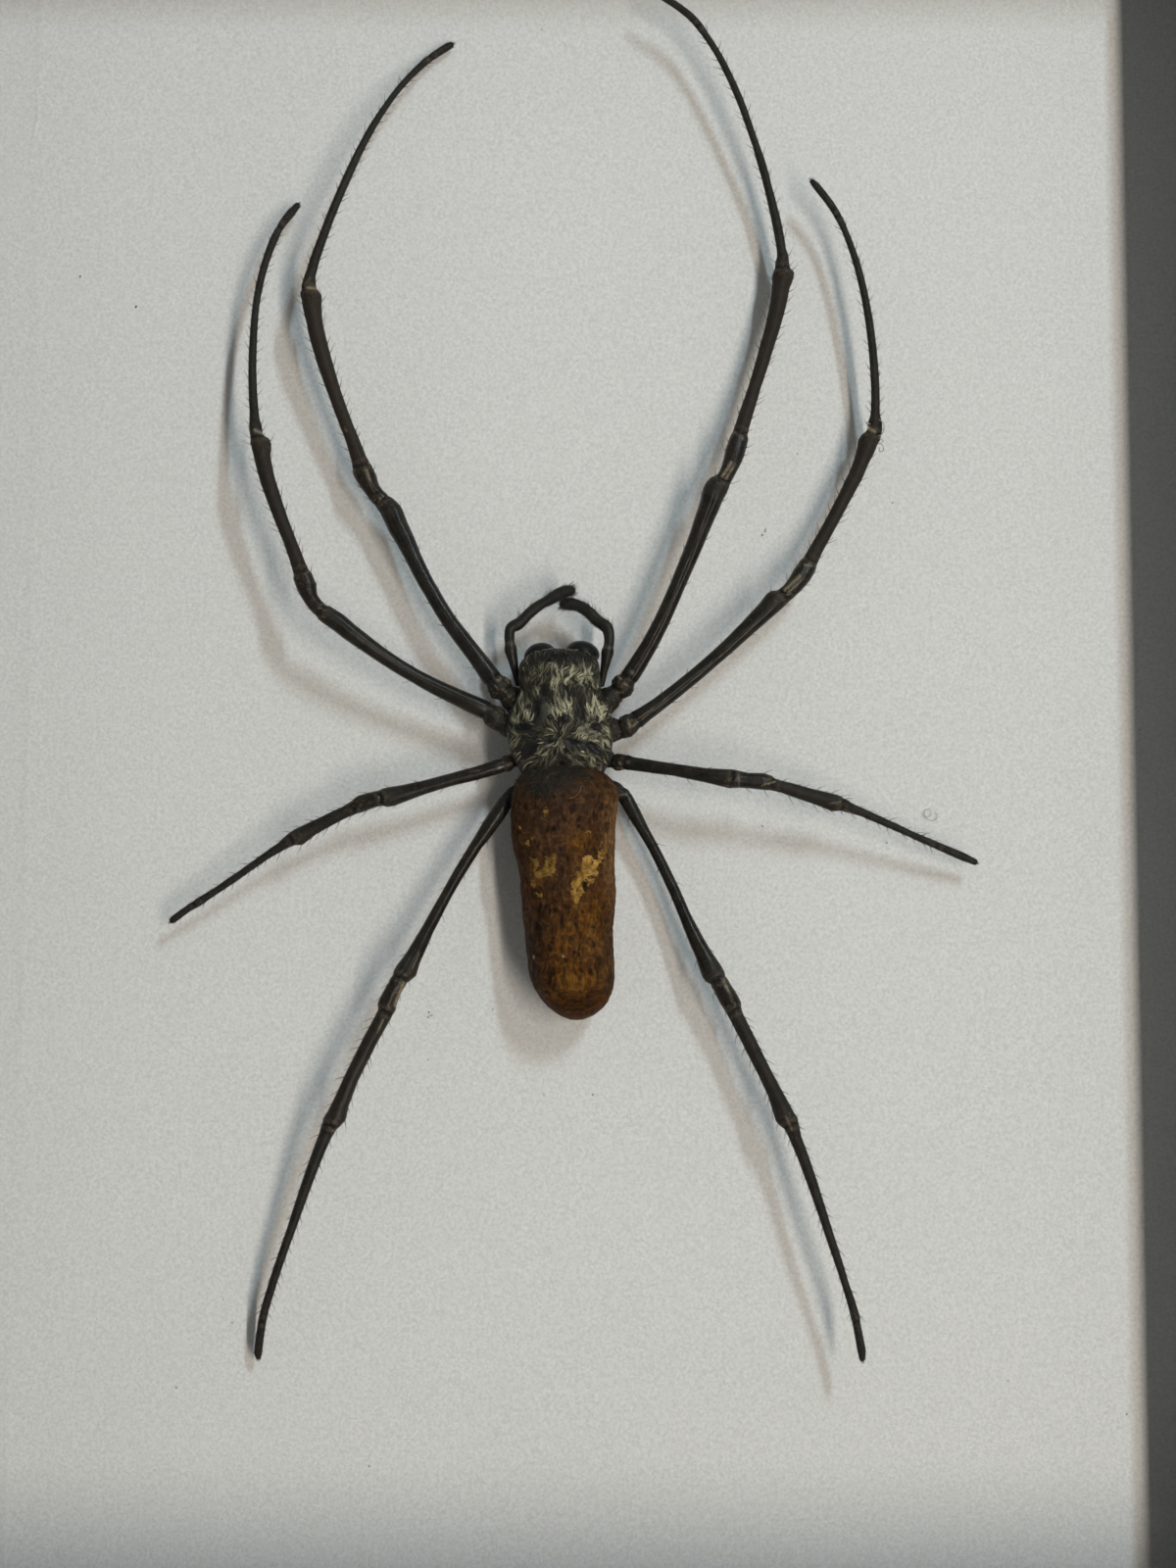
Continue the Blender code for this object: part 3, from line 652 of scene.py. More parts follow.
# a coiled stray fibre and short lint
sq = [(940, 829), (944, 834), (950, 831), (949, 826), (944, 827), (946, 836),
      (953, 837), (957, 833), (954, 829)]
path = np.array([[*spot(x, y, 0)[:2], 0.10 + 0.12 * (i % 2)] for i, (x, y) in enumerate(sq)])
path = spline(path, np.linspace(0, 1, 40))
fibre_v, fibre_q, fibre_t = strands(path[None], np.full((1, 40), 0.026), 4)
for x, y, a, ln in ((781, 541, 1.4, 5), (440, 1036, 0.4, 4), (610, 1010, 1.1, 3)):
    c = spot(x, y, 0.06)
    d = np.array([math.cos(a), math.sin(a), 0]) * ln / 17.2
    path = np.array([c - d, c + [0.03, -0.02, 0.02], c + d])
    path = spline(path, np.linspace(0, 1, 8))
    v, q, t = strands(path[None], np.full((1, 8), 0.03), 3)
    pile.add(v, q, t)
specks = pile.object("paper_specks", speck_mat)
m = Mat("pale_fibre", 0.5)
m.colour(m.ramp(m.noise(4.0, 2.0), [(0.3, (0.22, 0.22, 0.21)), (0.7, (0.40, 0.40, 0.38))]))
lint = make("paper_fibre", fibre_v, fibre_q, fibre_t, m.m)
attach(lint, "root")
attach(specks, "root")


# ------------------------------------------------------------ spider materials
def cuticle(name, dark, light, lo_rough, hi_rough):
    """Leg shell.  gloss: 1 on smooth parts, 0 on hairy ones;
    tan: pale joint skin, and cream streaks that are painted highlights."""
    m = Mat(name, 0.35)
    fine = m.noise(5.0, 4.0, 0.6)
    mott = m.noise(0.9, 3.0, 0.55)
    col = m.ramp(mott, [(0.30, dark), (0.72, light)])
    col = m.mix(m.attr("red"), col, (0.030, 0.0185, 0.0105))
    col = m.mix(m.grey(fine, 0.55, 0.75, 0.0, 0.5), col, (0.006, 0.005, 0.004))
    # clinging crumbs on the parts nearest the body
    bits = m.math("MULTIPLY", m.grey(m.noise(2.6, 4.0, 0.72), 0.565, 0.635), m.attr("crumb"))
    col = m.mix(bits, col, m.ramp(fine, [(0.3, (0.050, 0.034, 0.017)), (0.7, (0.210, 0.155, 0.090))]))
    col = m.mix(m.attr("seam"), col, (0.0035, 0.0030, 0.0025))
    # cream colour of the pale joint skin and of the painted highlight streaks
    tan = m.ramp(fine, [(0.3, (0.120, 0.085, 0.046)), (0.7, (0.42, 0.34, 0.22))])
    col = m.mix(m.attr("tan"), col, tan)
    m.colour(col)
    r = m.math("SUBTRACT", 1.0, m.attr("gloss"))
    r = m.math("ADD", m.math("MULTIPLY", r, hi_rough - lo_rough), lo_rough)
    m.rough(m.math("ADD", r, m.grey(fine, 0.4, 0.8, 0.0, 0.12), clamp=True))
    m.bump(fine, 0.40, 0.00008)
    m.b.inputs["Specular IOR Level"].default_value = 0.205
    return m.m


leg_mat = cuticle("leg_shell", (0.0085, 0.0075, 0.0050), (0.0245, 0.0210, 0.0135),
                  0.16, 0.60)

m = Mat("bristle", 0.45)
m.colour(m.ramp(m.noise(3.0, 2.0), [(0.3, (0.010, 0.008, 0.006)), (0.8, (0.035, 0.028, 0.020))]))
bristle_mat = m.m


def with_slot(pile_a, pile_b, name, mats):
    """One object from two piles, the second with the second material."""
    off = sum(len(v) for v in pile_a.v)
    keys = set(pile_a.a) | set(pile_b.a)
    nb = sum(len(v) for v in pile_b.v)
    attrs = {}
    for key in keys:
        a = np.concatenate(pile_a.a[key]) if key in pile_a.a else np.zeros(off)
        b = np.concatenate(pile_b.a[key]) if key in pile_b.a else np.zeros(nb)
        attrs[key] = np.concatenate([a, b])
    qa, qb = np.concatenate(pile_a.q), np.concatenate(pile_b.q) + off
    ta, tb = np.concatenate(pile_a.t), np.concatenate(pile_b.t) + off
    slots = np.concatenate([np.zeros(len(qa)), np.ones(len(qb)),
                            np.zeros(len(ta)), np.ones(len(tb))])
    return make(name, np.vstack(pile_a.v + pile_b.v), np.vstack([qa, qb]),
                np.vstack([ta, tb]), mats, attrs, True, slots)


# ----------------------------------------------------------------------- legs
# Joint positions in mm as in the construction; base: widths of coxa and
# trochanter in image pixels (8.74 to the millimetre at mid height); red: how
# red-brown the tibia is; shine: how glossy the tibia is.
PXMM = 8.74
LEGS = {
    "leg_left_1": dict(
        coxa=(-6.0, 0.2, 4.2), troch=(-8.9, 2.7, 4.8), hip=(-10.2, 4.2, 5.2),
        femur=[(-17.6, 14.5, 4.8), (-22.0, 23.2, 4.2), (-24.5, 26.8, 4.1)],
        patella=[(-26.9, 32.2, 4.8)], tibia=[(-29.9, 40.9, 5.6), (-32.1, 51.2, 6.8)],
        meta=[(-30.0, 57.9, 7.3), (-28.0, 63.4, 6.8), (-25.7, 68.9, 5.8),
              (-23.1, 74.0, 4.2), (-20.0, 78.8, 2.2), (-18.1, 81.0, 1.2)],
        tip=(-15.5, 82.8, 0.8), base=(27, 25), red=0.55),
    "leg_left_2": dict(
        coxa=(-6.0, -1.9, 4.2), troch=(-9.3, -0.9, 4.9), hip=(-10.9, 0.5, 5.3),
        femur=[(-19.6, 4.6, 6.5), (-27.6, 10.0, 8.1), (-30.7, 12.3, 8.4)],
        patella=[(-33.0, 17.6, 8.2)], tibia=[(-35.6, 24.4, 8.2), (-38.0, 33.3, 8.3)],
        meta=[(-38.6, 39.5, 7.5), (-38.6, 44.8, 6.9), (-38.3, 50.4, 5.6),
              (-37.4, 55.3, 4.4), (-36.3, 58.7, 3.3)],
        tip=(-33.9, 62.4, 1.8), base=(28, 24), red=0.35),
    "leg_left_3": dict(
        coxa=(-6.0, -4.3, 4.0), troch=(-8.1, -5.5, 4.7), hip=(-9.2, -6.0, 5.0),
        femur=[(-15.8, -7.9, 5.6), (-21.0, -9.3, 5.7), (-23.6, -9.9, 5.7)],
        patella=[(-27.8, -11.6, 5.4)], tibia=[(-30.3, -12.8, 5.2), (-34.1, -14.8, 4.9)],
        meta=[(-39.4, -18.5, 4.3), (-45.4, -22.4, 3.7)],
        tip=(-48.0, -24.4, 3.3), base=(18, 16.5), red=0.15),
    "leg_left_4": dict(
        coxa=(-4.9, -6.5, 3.2), troch=(-7.5, -8.8, 3.8), hip=(-8.7, -10.1, 4.2),
        femur=[(-14.8, -19.7, 4.9), (-18.8, -27.3, 5.9), (-20.9, -31.2, 6.5)],
        patella=[(-23.3, -36.3, 6.6)], tibia=[(-25.7, -41.2, 6.8), (-29.1, -48.5, 6.9)],
        meta=[(-33.1, -59.1, 5.6), (-36.7, -70.2, 3.3)],
        tip=(-37.3, -75.0, 1.8), base=(15, 14.5), red=0.2, shine=0.62),
    "leg_right_1": dict(
        coxa=(1.3, 0.2, 4.2), troch=(4.5, 2.8, 4.9), hip=(5.7, 4.3, 5.3),
        femur=[(9.6, 11.2, 6.2), (12.8, 18.4, 6.5), (15.9, 26.1, 6.0), (17.4, 29.0, 5.9)],
        patella=[(19.4, 34.9, 4.8)], tibia=[(22.0, 43.4, 4.1), (24.3, 54.6, 3.6)],
        meta=[(23.4, 59.9, 3.9), (22.2, 65.0, 4.2), (20.6, 69.8, 4.8),
              (18.9, 74.7, 5.2), (16.6, 79.4, 5.3), (14.0, 83.6, 5.2)],
        tip=(8.4, 87.6, 5.2), base=(26, 24), red=0.45),
    "leg_right_2": dict(
        coxa=(1.3, -1.9, 4.2), troch=(4.9, -1.7, 4.8), hip=(6.6, -0.7, 5.1),
        femur=[(13.6, 4.7, 5.1), (19.5, 10.0, 5.2), (24.5, 14.7, 5.2)],
        patella=[(28.2, 20.1, 4.1)], tibia=[(31.2, 25.8, 4.0), (35.0, 34.6, 3.9)],
        meta=[(35.1, 37.7, 4.5), (34.9, 41.8, 4.9), (34.4, 46.5, 5.2),
              (33.6, 51.1, 5.3), (32.6, 55.3, 5.1), (30.7, 60.4, 4.7)],
        tip=(27.6, 64.5, 4.7), base=(27, 24), red=0.35),
    "leg_right_3": dict(
        coxa=(1.5, -4.5, 4.0), troch=(4.0, -5.5, 4.8), hip=(5.4, -5.6, 5.6),
        femur=[(12.3, -6.9, 7.2), (16.8, -7.6, 7.5), (19.2, -7.9, 7.5)],
        patella=[(23.4, -8.7, 7.2)], tibia=[(26.4, -9.5, 6.6), (30.6, -10.6, 5.9)],
        meta=[(35.4, -12.5, 5.0), (39.6, -14.3, 4.1)],
        tip=(46.8, -17.3, 2.6), base=(19, 17.5), red=0.15),
    "leg_right_4": dict(
        coxa=(0.3, -6.5, 2.9), troch=(3.7, -8.2, 3.1), hip=(5.3, -9.6, 3.3),
        femur=[(10.9, -20.3, 3.6), (14.2, -27.6, 4.3), (16.1, -31.2, 4.7)],
        patella=[(18.7, -36.4, 5.0)], tibia=[(21.0, -41.2, 5.5), (24.5, -48.2, 5.9)],
        meta=[(28.3, -59.2, 6.6), (31.2, -68.3, 6.4)],
        tip=(32.4, -74.5, 6.1), base=(15, 14.5), red=0.2),
}
# Outlines: distance from the hip along the centre line, then how far the two
# edges lie to its left and right, all in image pixels.  joints: the femur's,
# patella's, tibia's and metatarsus's ends on the same scale.
EDGES = {
    "leg_left_1": ((215, 257, 445, 717), [
        (0, -11, 9.5), (12, -10.2, 9.2), (30, -9.2, 8.6), (74, -8.6, 7.6), (109, -7.0, 8.8),
        (150, -8.7, 8.6), (183, -10.9, 10.6), (194, -9.7, 13.1), (199, -8.8, 13.9),
        (205, -7.6, 13.2), (211, -7.3, 11.8), (217, -7.7, 9.8), (229, -9.0, 7.7),
        (243, -11.1, 10.0), (252, -11.8, 9.6), (257, -10.0, 9.0), (263, -8.1, 8.1),
        (287, -5.8, 7.9), (334, -6.7, 7.1), (369, -8.7, 7.4), (401, -7.9, 9.0),
        (412, -6.9, 10.2), (436, -7.8, 13.6), (440, -8.5, 13.0), (444, -7.9, 10.2),
        (448, -7.3, 8.0), (460, -5.3, 5.8), (465, -4.4, 6.2), (512, -4.2, 4.8),
        (570, -3.6, 5.1), (664, -3.5, 2.8), (722, -3.0, 4.4), (737, -3.8, 4.1),
        (745, -2.7, 3.2)]),
    "leg_left_2": ((198, 243, 388, 606), [
        (0, -10.5, 9.0), (16, -10.6, 8.6), (33, -9.6, 8.0), (82, -7.7, 7.3), (108, -8.1, 7.3),
        (122, -8.5, 7.2), (163, -9.9, 8.9), (179, -9.1, 10.5), (192, -8.6, 9.7),
        (199, -7.0, 8.2), (215, -7.8, 7.9), (227, -9.3, 11.6), (239, -9.4, 10.5),
        (245, -7.6, 8.3), (251, -7.2, 7.8), (279, -5.5, 7.6), (346, -8.1, 7.8),
        (366, -7.6, 9.3), (379, -7.6, 13.1), (384, -7.7, 12.1), (388, -7.0, 8.6),
        (391, -6.6, 6.3), (398, -6.5, 7.0), (407, -5.1, 5.4), (416, -4.0, 5.3),
        (521, -3.5, 3.7), (596, -3.3, 4.9), (605, -3.0, 4.3), (625, -5.0, 3.9),
        (638, -3.9, 2.2)]),
    "leg_left_3": ((127, 157, 228, 347), [
        (0, -7.4, 7.4), (29, -7.5, 6.4), (52, -6.6, 6.5), (83, -7.4, 6.8), (118, -11.4, 8.7),
        (123, -10.9, 8.3), (129, -8.3, 7.6), (149, -7.9, 9.6), (160, -6.8, 6.4),
        (167, -6.3, 5.7), (203, -7.8, 6.0), (221, -11.0, 6.9), (230, -7.0, 6.0),
        (241, -5.8, 3.7), (261, -3.8, 3.8), (284, -3.2, 4.2), (324, -4.2, 2.9),
        (344, -4.6, 3.7), (352, -3.1, 4.0), (372, -2.3, 4.9), (380, -1.5, 3.9)]),
    "leg_left_4": ((211, 248, 377, 588), [
        (0, -8.2, 7.8), (20, -8.4, 8.0), (36, -7.6, 7.6), (47, -6.7, 6.7), (54, -5.8, 6.6),
        (112, -5.9, 5.4), (154, -6.5, 6.6), (187, -9.4, 8.3), (201, -12.2, 10.0),
        (206, -10.2, 9.9), (212, -7.7, 9.4), (218, -7.3, 9.5), (225, -7.0, 10.0),
        (236, -7.8, 10.6), (242, -9.3, 10.5), (246, -9.2, 9.0), (250, -8.7, 7.1),
        (279, -6.9, 8.1), (323, -6.7, 8.2), (352, -9.3, 7.6), (366, -12.6, 7.9),
        (375, -9.7, 9.0), (379, -7.8, 7.9), (390, -6.4, 6.6), (498, -4.8, 3.9),
        (556, -5.2, 3.2), (622, -2.6, 5.6), (628, -1.8, 3.0)]),
    "leg_right_1": ((224, 274, 449, 714), [
        (0, -9.6, 9.8), (15, -8.3, 10.4), (38, -7.1, 10.1), (106, -7.7, 8.1), (164, -8.9, 9.5),
        (193, -10.6, 10.8), (208, -13.4, 10.4), (214, -13.5, 10.7), (220, -11.6, 10.0),
        (224, -9.2, 9.4), (227, -7.0, 9.2), (236, -7.2, 9.6), (247, -8.6, 10.6),
        (255, -9.8, 10.9), (266, -9.3, 10.3), (272, -8.4, 9.6), (276, -7.8, 7.5),
        (326, -7.0, 6.0), (384, -7.2, 8.1), (430, -10.1, 8.3), (440, -11.5, 11.0),
        (445, -10.0, 11.4), (451, -8.5, 6.5), (456, -8.1, 6.2), (462, -5.6, 6.1),
        (468, -5.2, 4.6), (495, -4.6, 5.3), (535, -4.5, 3.8), (560, -4.3, 4.5),
        (579, -3.1, 4.2), (638, -4.3, 3.3), (682, -3.1, 3.8), (703, -4.2, 2.7),
        (714, -4.8, 3.4), (747, -2.9, 4.4), (776, -2.2, 2.8)]),
    "leg_right_2": ((197, 241, 387, 614), [
        (0, -10.4, 9.4), (10, -8.6, 8.2), (27, -7.3, 8.0), (60, -7.4, 7.3), (97, -7.4, 7.1),
        (118, -7.4, 7.6), (147, -8.7, 8.1), (174, -11.4, 8.4), (187, -13.7, 8.6),
        (191, -12.2, 8.5), (195, -9.6, 8.6), (199, -7.8, 8.8), (204, -7.0, 9.5),
        (213, -7.2, 10.6), (225, -8.7, 11.6), (235, -8.2, 10.9), (239, -7.8, 9.8),
        (243, -7.3, 8.3), (258, -7.4, 6.4), (283, -7.2, 6.1), (319, -6.5, 7.5),
        (340, -7.6, 7.6), (357, -9.5, 6.4), (377, -12.9, 7.5), (383, -11.2, 8.6),
        (387, -8.4, 8.6), (391, -6.3, 8.5), (398, -7.1, 7.8), (404, -5.1, 5.5),
        (410, -4.6, 4.5), (547, -3.6, 4.0), (599, -4.2, 2.4), (614, -4.9, 2.6),
        (653, -4.1, 3.7), (662, -2.6, 1.6)]),
    "leg_right_3": ((109, 151, 225, 330), [
        (0, -7.8, 8.6), (7, -6.1, 7.9), (50, -6.5, 6.4), (80, -6.9, 7.9), (104, -8.8, 9.9),
        (109, -9.5, 10.6), (112, -9.0, 9.6), (124, -7.8, 8.2), (141, -10.3, 7.3),
        (149, -9.0, 6.0), (153, -6.9, 5.8), (160, -6.5, 5.7), (197, -7.1, 7.8),
        (217, -7.7, 10.3), (226, -6.1, 6.9), (237, -4.0, 5.8), (247, -3.8, 4.7),
        (303, -3.0, 3.9), (358, -4.2, 4.3), (375, -2.9, 3.2)]),
    "leg_right_4": ((209, 245, 375, 586), [
        (0, -7.6, 7.6), (20, -7.4, 6.8), (38, -6.3, 5.4), (59, -6.5, 4.4), (135, -5.4, 6.6),
        (176, -8.3, 8.7), (199, -10.3, 12.1), (204, -10.0, 11.6), (210, -9.2, 8.5),
        (233, -11.2, 8.7), (240, -10.8, 7.8), (249, -7.6, 7.1), (315, -8.0, 6.0),
        (336, -8.0, 6.8), (365, -8.8, 11.8), (371, -9.6, 9.8), (377, -8.3, 6.8),
        (390, -5.5, 6.6), (478, -4.7, 4.4), (547, -2.9, 4.6), (583, -5.1, 4.0),
        (588, -4.2, 3.7), (617, -4.8, 3.8), (628, -2.0, 3.1)]),
}
# pale joint skin, pale crumbs near the body, and cream streaks on the patella bases and joints that are
# painted highlights: two image points, half width, strength
SKIN_AND_HIGHLIGHT_STREAKS = {
    "leg_left_1": [(313, 293.5, 325, 294.5, 1.7, 0.75), (312, 288, 316, 284, 1.2, 0.25),
                   (374, 479, 377.5, 490, 1.1, 0.55), (391, 506, 386, 513, 1.0, 0.3),
                   (508, 695, 511, 692, 1.0, 0.55), (517, 693, 519, 697, 0.9, 0.5),
                   (352, 437, 353, 439, 1.0, 0.5), (513, 703, 516, 706, 0.8, 0.45)],
    "leg_left_2": [(260, 439, 268, 442, 1.6, 0.70), (265, 423, 270, 433, 1.0, 0.45),
                   (495, 705, 501, 709, 0.9, 0.5), (500, 714, 503, 718, 0.8, 0.45),
                   (508, 722, 511, 726, 0.8, 0.4), (293, 466, 297, 469, 1.2, 0.3)],
    "leg_left_3": [(508, 784, 514, 782, 0.9, 0.55), (518, 781, 522, 779, 0.8, 0.5),
                   (480, 787, 489, 786, 0.7, 0.3)],
    "leg_left_4": [(403, 1026, 411.5, 1003, 1.7, 0.85), (339, 1154, 344, 1153, 1.6, 0.4),
                   (391, 1040, 386, 1052, 0.9, 0.55), (421, 988, 428, 972, 0.9, 0.35)],
    "leg_right_1": [(737, 486, 746, 472, 1.3, 0.90), (741, 488, 750, 475, 0.9, 0.6),
                    (631, 690, 634, 693, 1.0, 0.6), (637, 697, 640, 699, 0.9, 0.55),
                    (629, 706, 633, 707, 0.9, 0.5), (643, 684, 646, 687, 0.9, 0.5),
                    (634, 714, 635, 718, 0.8, 0.45)],
    "leg_right_2": [(801, 602, 817, 587, 1.4, 0.85), (805, 604, 819, 591, 0.7, 0.5),
                    (821, 576, 829, 577.5, 0.9, 0.6), (884, 436, 892, 440, 1.9, 1.0),
                    (641, 735, 643, 742, 1.2, 0.75), (646, 741, 650, 737, 1.0, 0.6),
                    (633, 728, 634, 733, 1.0, 0.55), (652, 733, 668, 722, 0.7, 0.3)],
    "leg_right_3": [(753.5, 789, 754.5, 810, 0.6, 0.45), (778, 801.5, 791, 797.5, 0.8, 0.55),
                    (848, 820, 858, 818, 0.8, 0.4), (632, 778, 633, 780, 1.1, 0.8),
                    (634, 784, 636, 786, 1.0, 0.7), (641, 777, 642, 783, 0.8, 0.45),
                    (862, 826, 871, 830, 0.7, 0.45)],
    "leg_right_4": [(738, 999, 743.5, 1011, 1.3, 0.65), (803, 1141, 808, 1153, 1.2, 0.45),
                    (630, 812, 640, 810, 0.8, 0.4), (628, 815, 634, 822, 0.7, 0.35)],
}
STEP = 0.34
# angles round a leg, finer over the top half where the ridges are
ANG = np.radians(np.concatenate([np.linspace(-12, 192, 29)[:-1],
                                 np.linspace(192, 348, 9)[:-1]]))


def leg_stations(name, d):
    """Centre line, its sideways shift, radius, gloss, red tint, and the
    segment that each ring belongs to (0 coxa ... 6 tarsus)."""
    b0, b1 = d["base"]
    joints, rows = EDGES[name]
    rows = np.array(rows)
    # coxa and trochanter
    n0 = 16
    t = np.linspace(0, 1, n0, endpoint=False)
    P = [spline([d["coxa"], d["troch"]], t)]
    W = [knots([(0, b0 * 0.8), (0.35, b0), (0.72, b0 * 0.96), (0.86, b0 * 0.80),
                (0.93, b0 * 0.72), (1, b0 * 0.76)], t)]
    n1 = 14
    t = np.linspace(0, 1, n1, endpoint=False)
    w0 = rows[0, 2] - rows[0, 1]
    P.append(spline([d["troch"], d["hip"]], t))
    W.append(knots([(0, b1 * 0.82), (0.25, b1), (0.60, b1 * 0.96), (0.84, w0 * 0.96),
                    (0.92, w0 * 0.88), (1, w0 * 0.97)], t))
    # the rest in one line
    pts = [d["hip"]] + d["femur"] + d["patella"] + d["tibia"] + d["meta"] + [d["tip"]]
    fine_t = np.linspace(0, 1, 3000)
    line = spline(np.array(pts), fine_t)
    x, y = pix(line)
    s_ = np.r_[0, np.cumsum(np.hypot(np.diff(x), np.diff(y)))]
    dens = np.ones_like(s_)
    for j in joints:
        dens += 3.2 * np.exp(-((s_ - j) / 9.0) ** 2)
    cum = np.r_[0, np.cumsum((dens[1:] + dens[:-1]) / 2 * np.diff(s_))]
    n2 = int(cum[-1] / (STEP * PXMM * 1.12))
    tt = np.interp(np.linspace(0, cum[-1], n2), cum, fine_t)
    sp = np.interp(tt, fine_t, s_)
    P.append(spline(np.array(pts), tt))
    lo, hi = (np.interp(sp, rows[:, 0], rows[:, k]) for k in (1, 2))
    W.append(hi - lo)
    ends = smooth(-22, 0, np.arange(-(n0 + n1), 0))
    shift = np.r_[ends * (lo[0] + hi[0]) / 2, (lo + hi) / 2]
    seg = np.r_[np.zeros(n0, int), np.ones(n1, int), 2 + np.searchsorted(joints, sp)]
    sp_all = np.r_[np.full(n0 + n1, -10.0), sp]
    P = np.concatenate(P)
    dep = (CAM[2] - P[:, 2]) / FOCAL              # mm to the pixel
    sh = d.get("shine", 0.10)
    gloss = np.select([seg == 0, seg == 1, seg == 2, seg == 3, seg == 4, seg == 5],
                      [0.15, 0.30, 0.85, 0.80, sh * 0.8, sh * 0.7], 0.0).astype(float)
    j1, j2, j3, j4 = joints
    gloss = np.where(seg == 2, 0.85 - 0.55 * smooth(j1 - 26, j1 - 12, sp_all), gloss)
    red = np.select([seg == 4, seg == 3], [d["red"], d["red"] * 0.3], 0.05 * d["red"])
    # grooves (negative) and lips (positive) across each joint
    ridge = np.zeros(len(P))
    for j, deep in zip(joints, (1.0, 0.9, 1.0, 1.2)):
        ridge -= deep * 0.15 * np.exp(-((sp_all - j) / 1.5) ** 2)
        ridge += deep * 0.075 * np.exp(-((sp_all - j + 4.2) / 2.2) ** 2)
        ridge += deep * 0.060 * np.exp(-((sp_all - j - 4.4) / 2.0) ** 2)
        ridge -= deep * 0.045 * np.exp(-((sp_all - j - 8.5) / 1.8) ** 2)
    i_ = np.arange(len(P))
    ridge -= 0.14 * np.exp(-((i_ - n0) / 0.9) ** 2) + 0.12 * np.exp(-((i_ - n0 - n1) / 0.9) ** 2)
    return P, shift * dep, np.concatenate(W) / 2 * dep, gloss, red, seg, ridge


def bristles(pile, root, out, tan_, length, radius, sweep, bend=0.25):
    """Tapered setae leaning along tan_ from root points."""
    n = len(root)
    k = 4
    u = np.linspace(0, 1, k)
    ca, sa = np.cos(sweep)[:, None], np.sin(sweep)[:, None]
    d0 = ca * tan_ + sa * out
    paths = (root[:, None, :] - 0.03 * out[:, None, :]
             + (length[:, None] * u[None])[:, :, None] * d0[:, None, :]
             + (bend * length[:, None] * u[None] ** 2)[:, :, None]
             * (tan_ - 0.4 * out)[:, None, :])
    rad = radius[:, None] * (1 - 0.80 * u[None])
    v, q, t = strands(paths, rad, 3, ref=(0.13, 0.21, 0.97))
    pile.add(v, q, t)


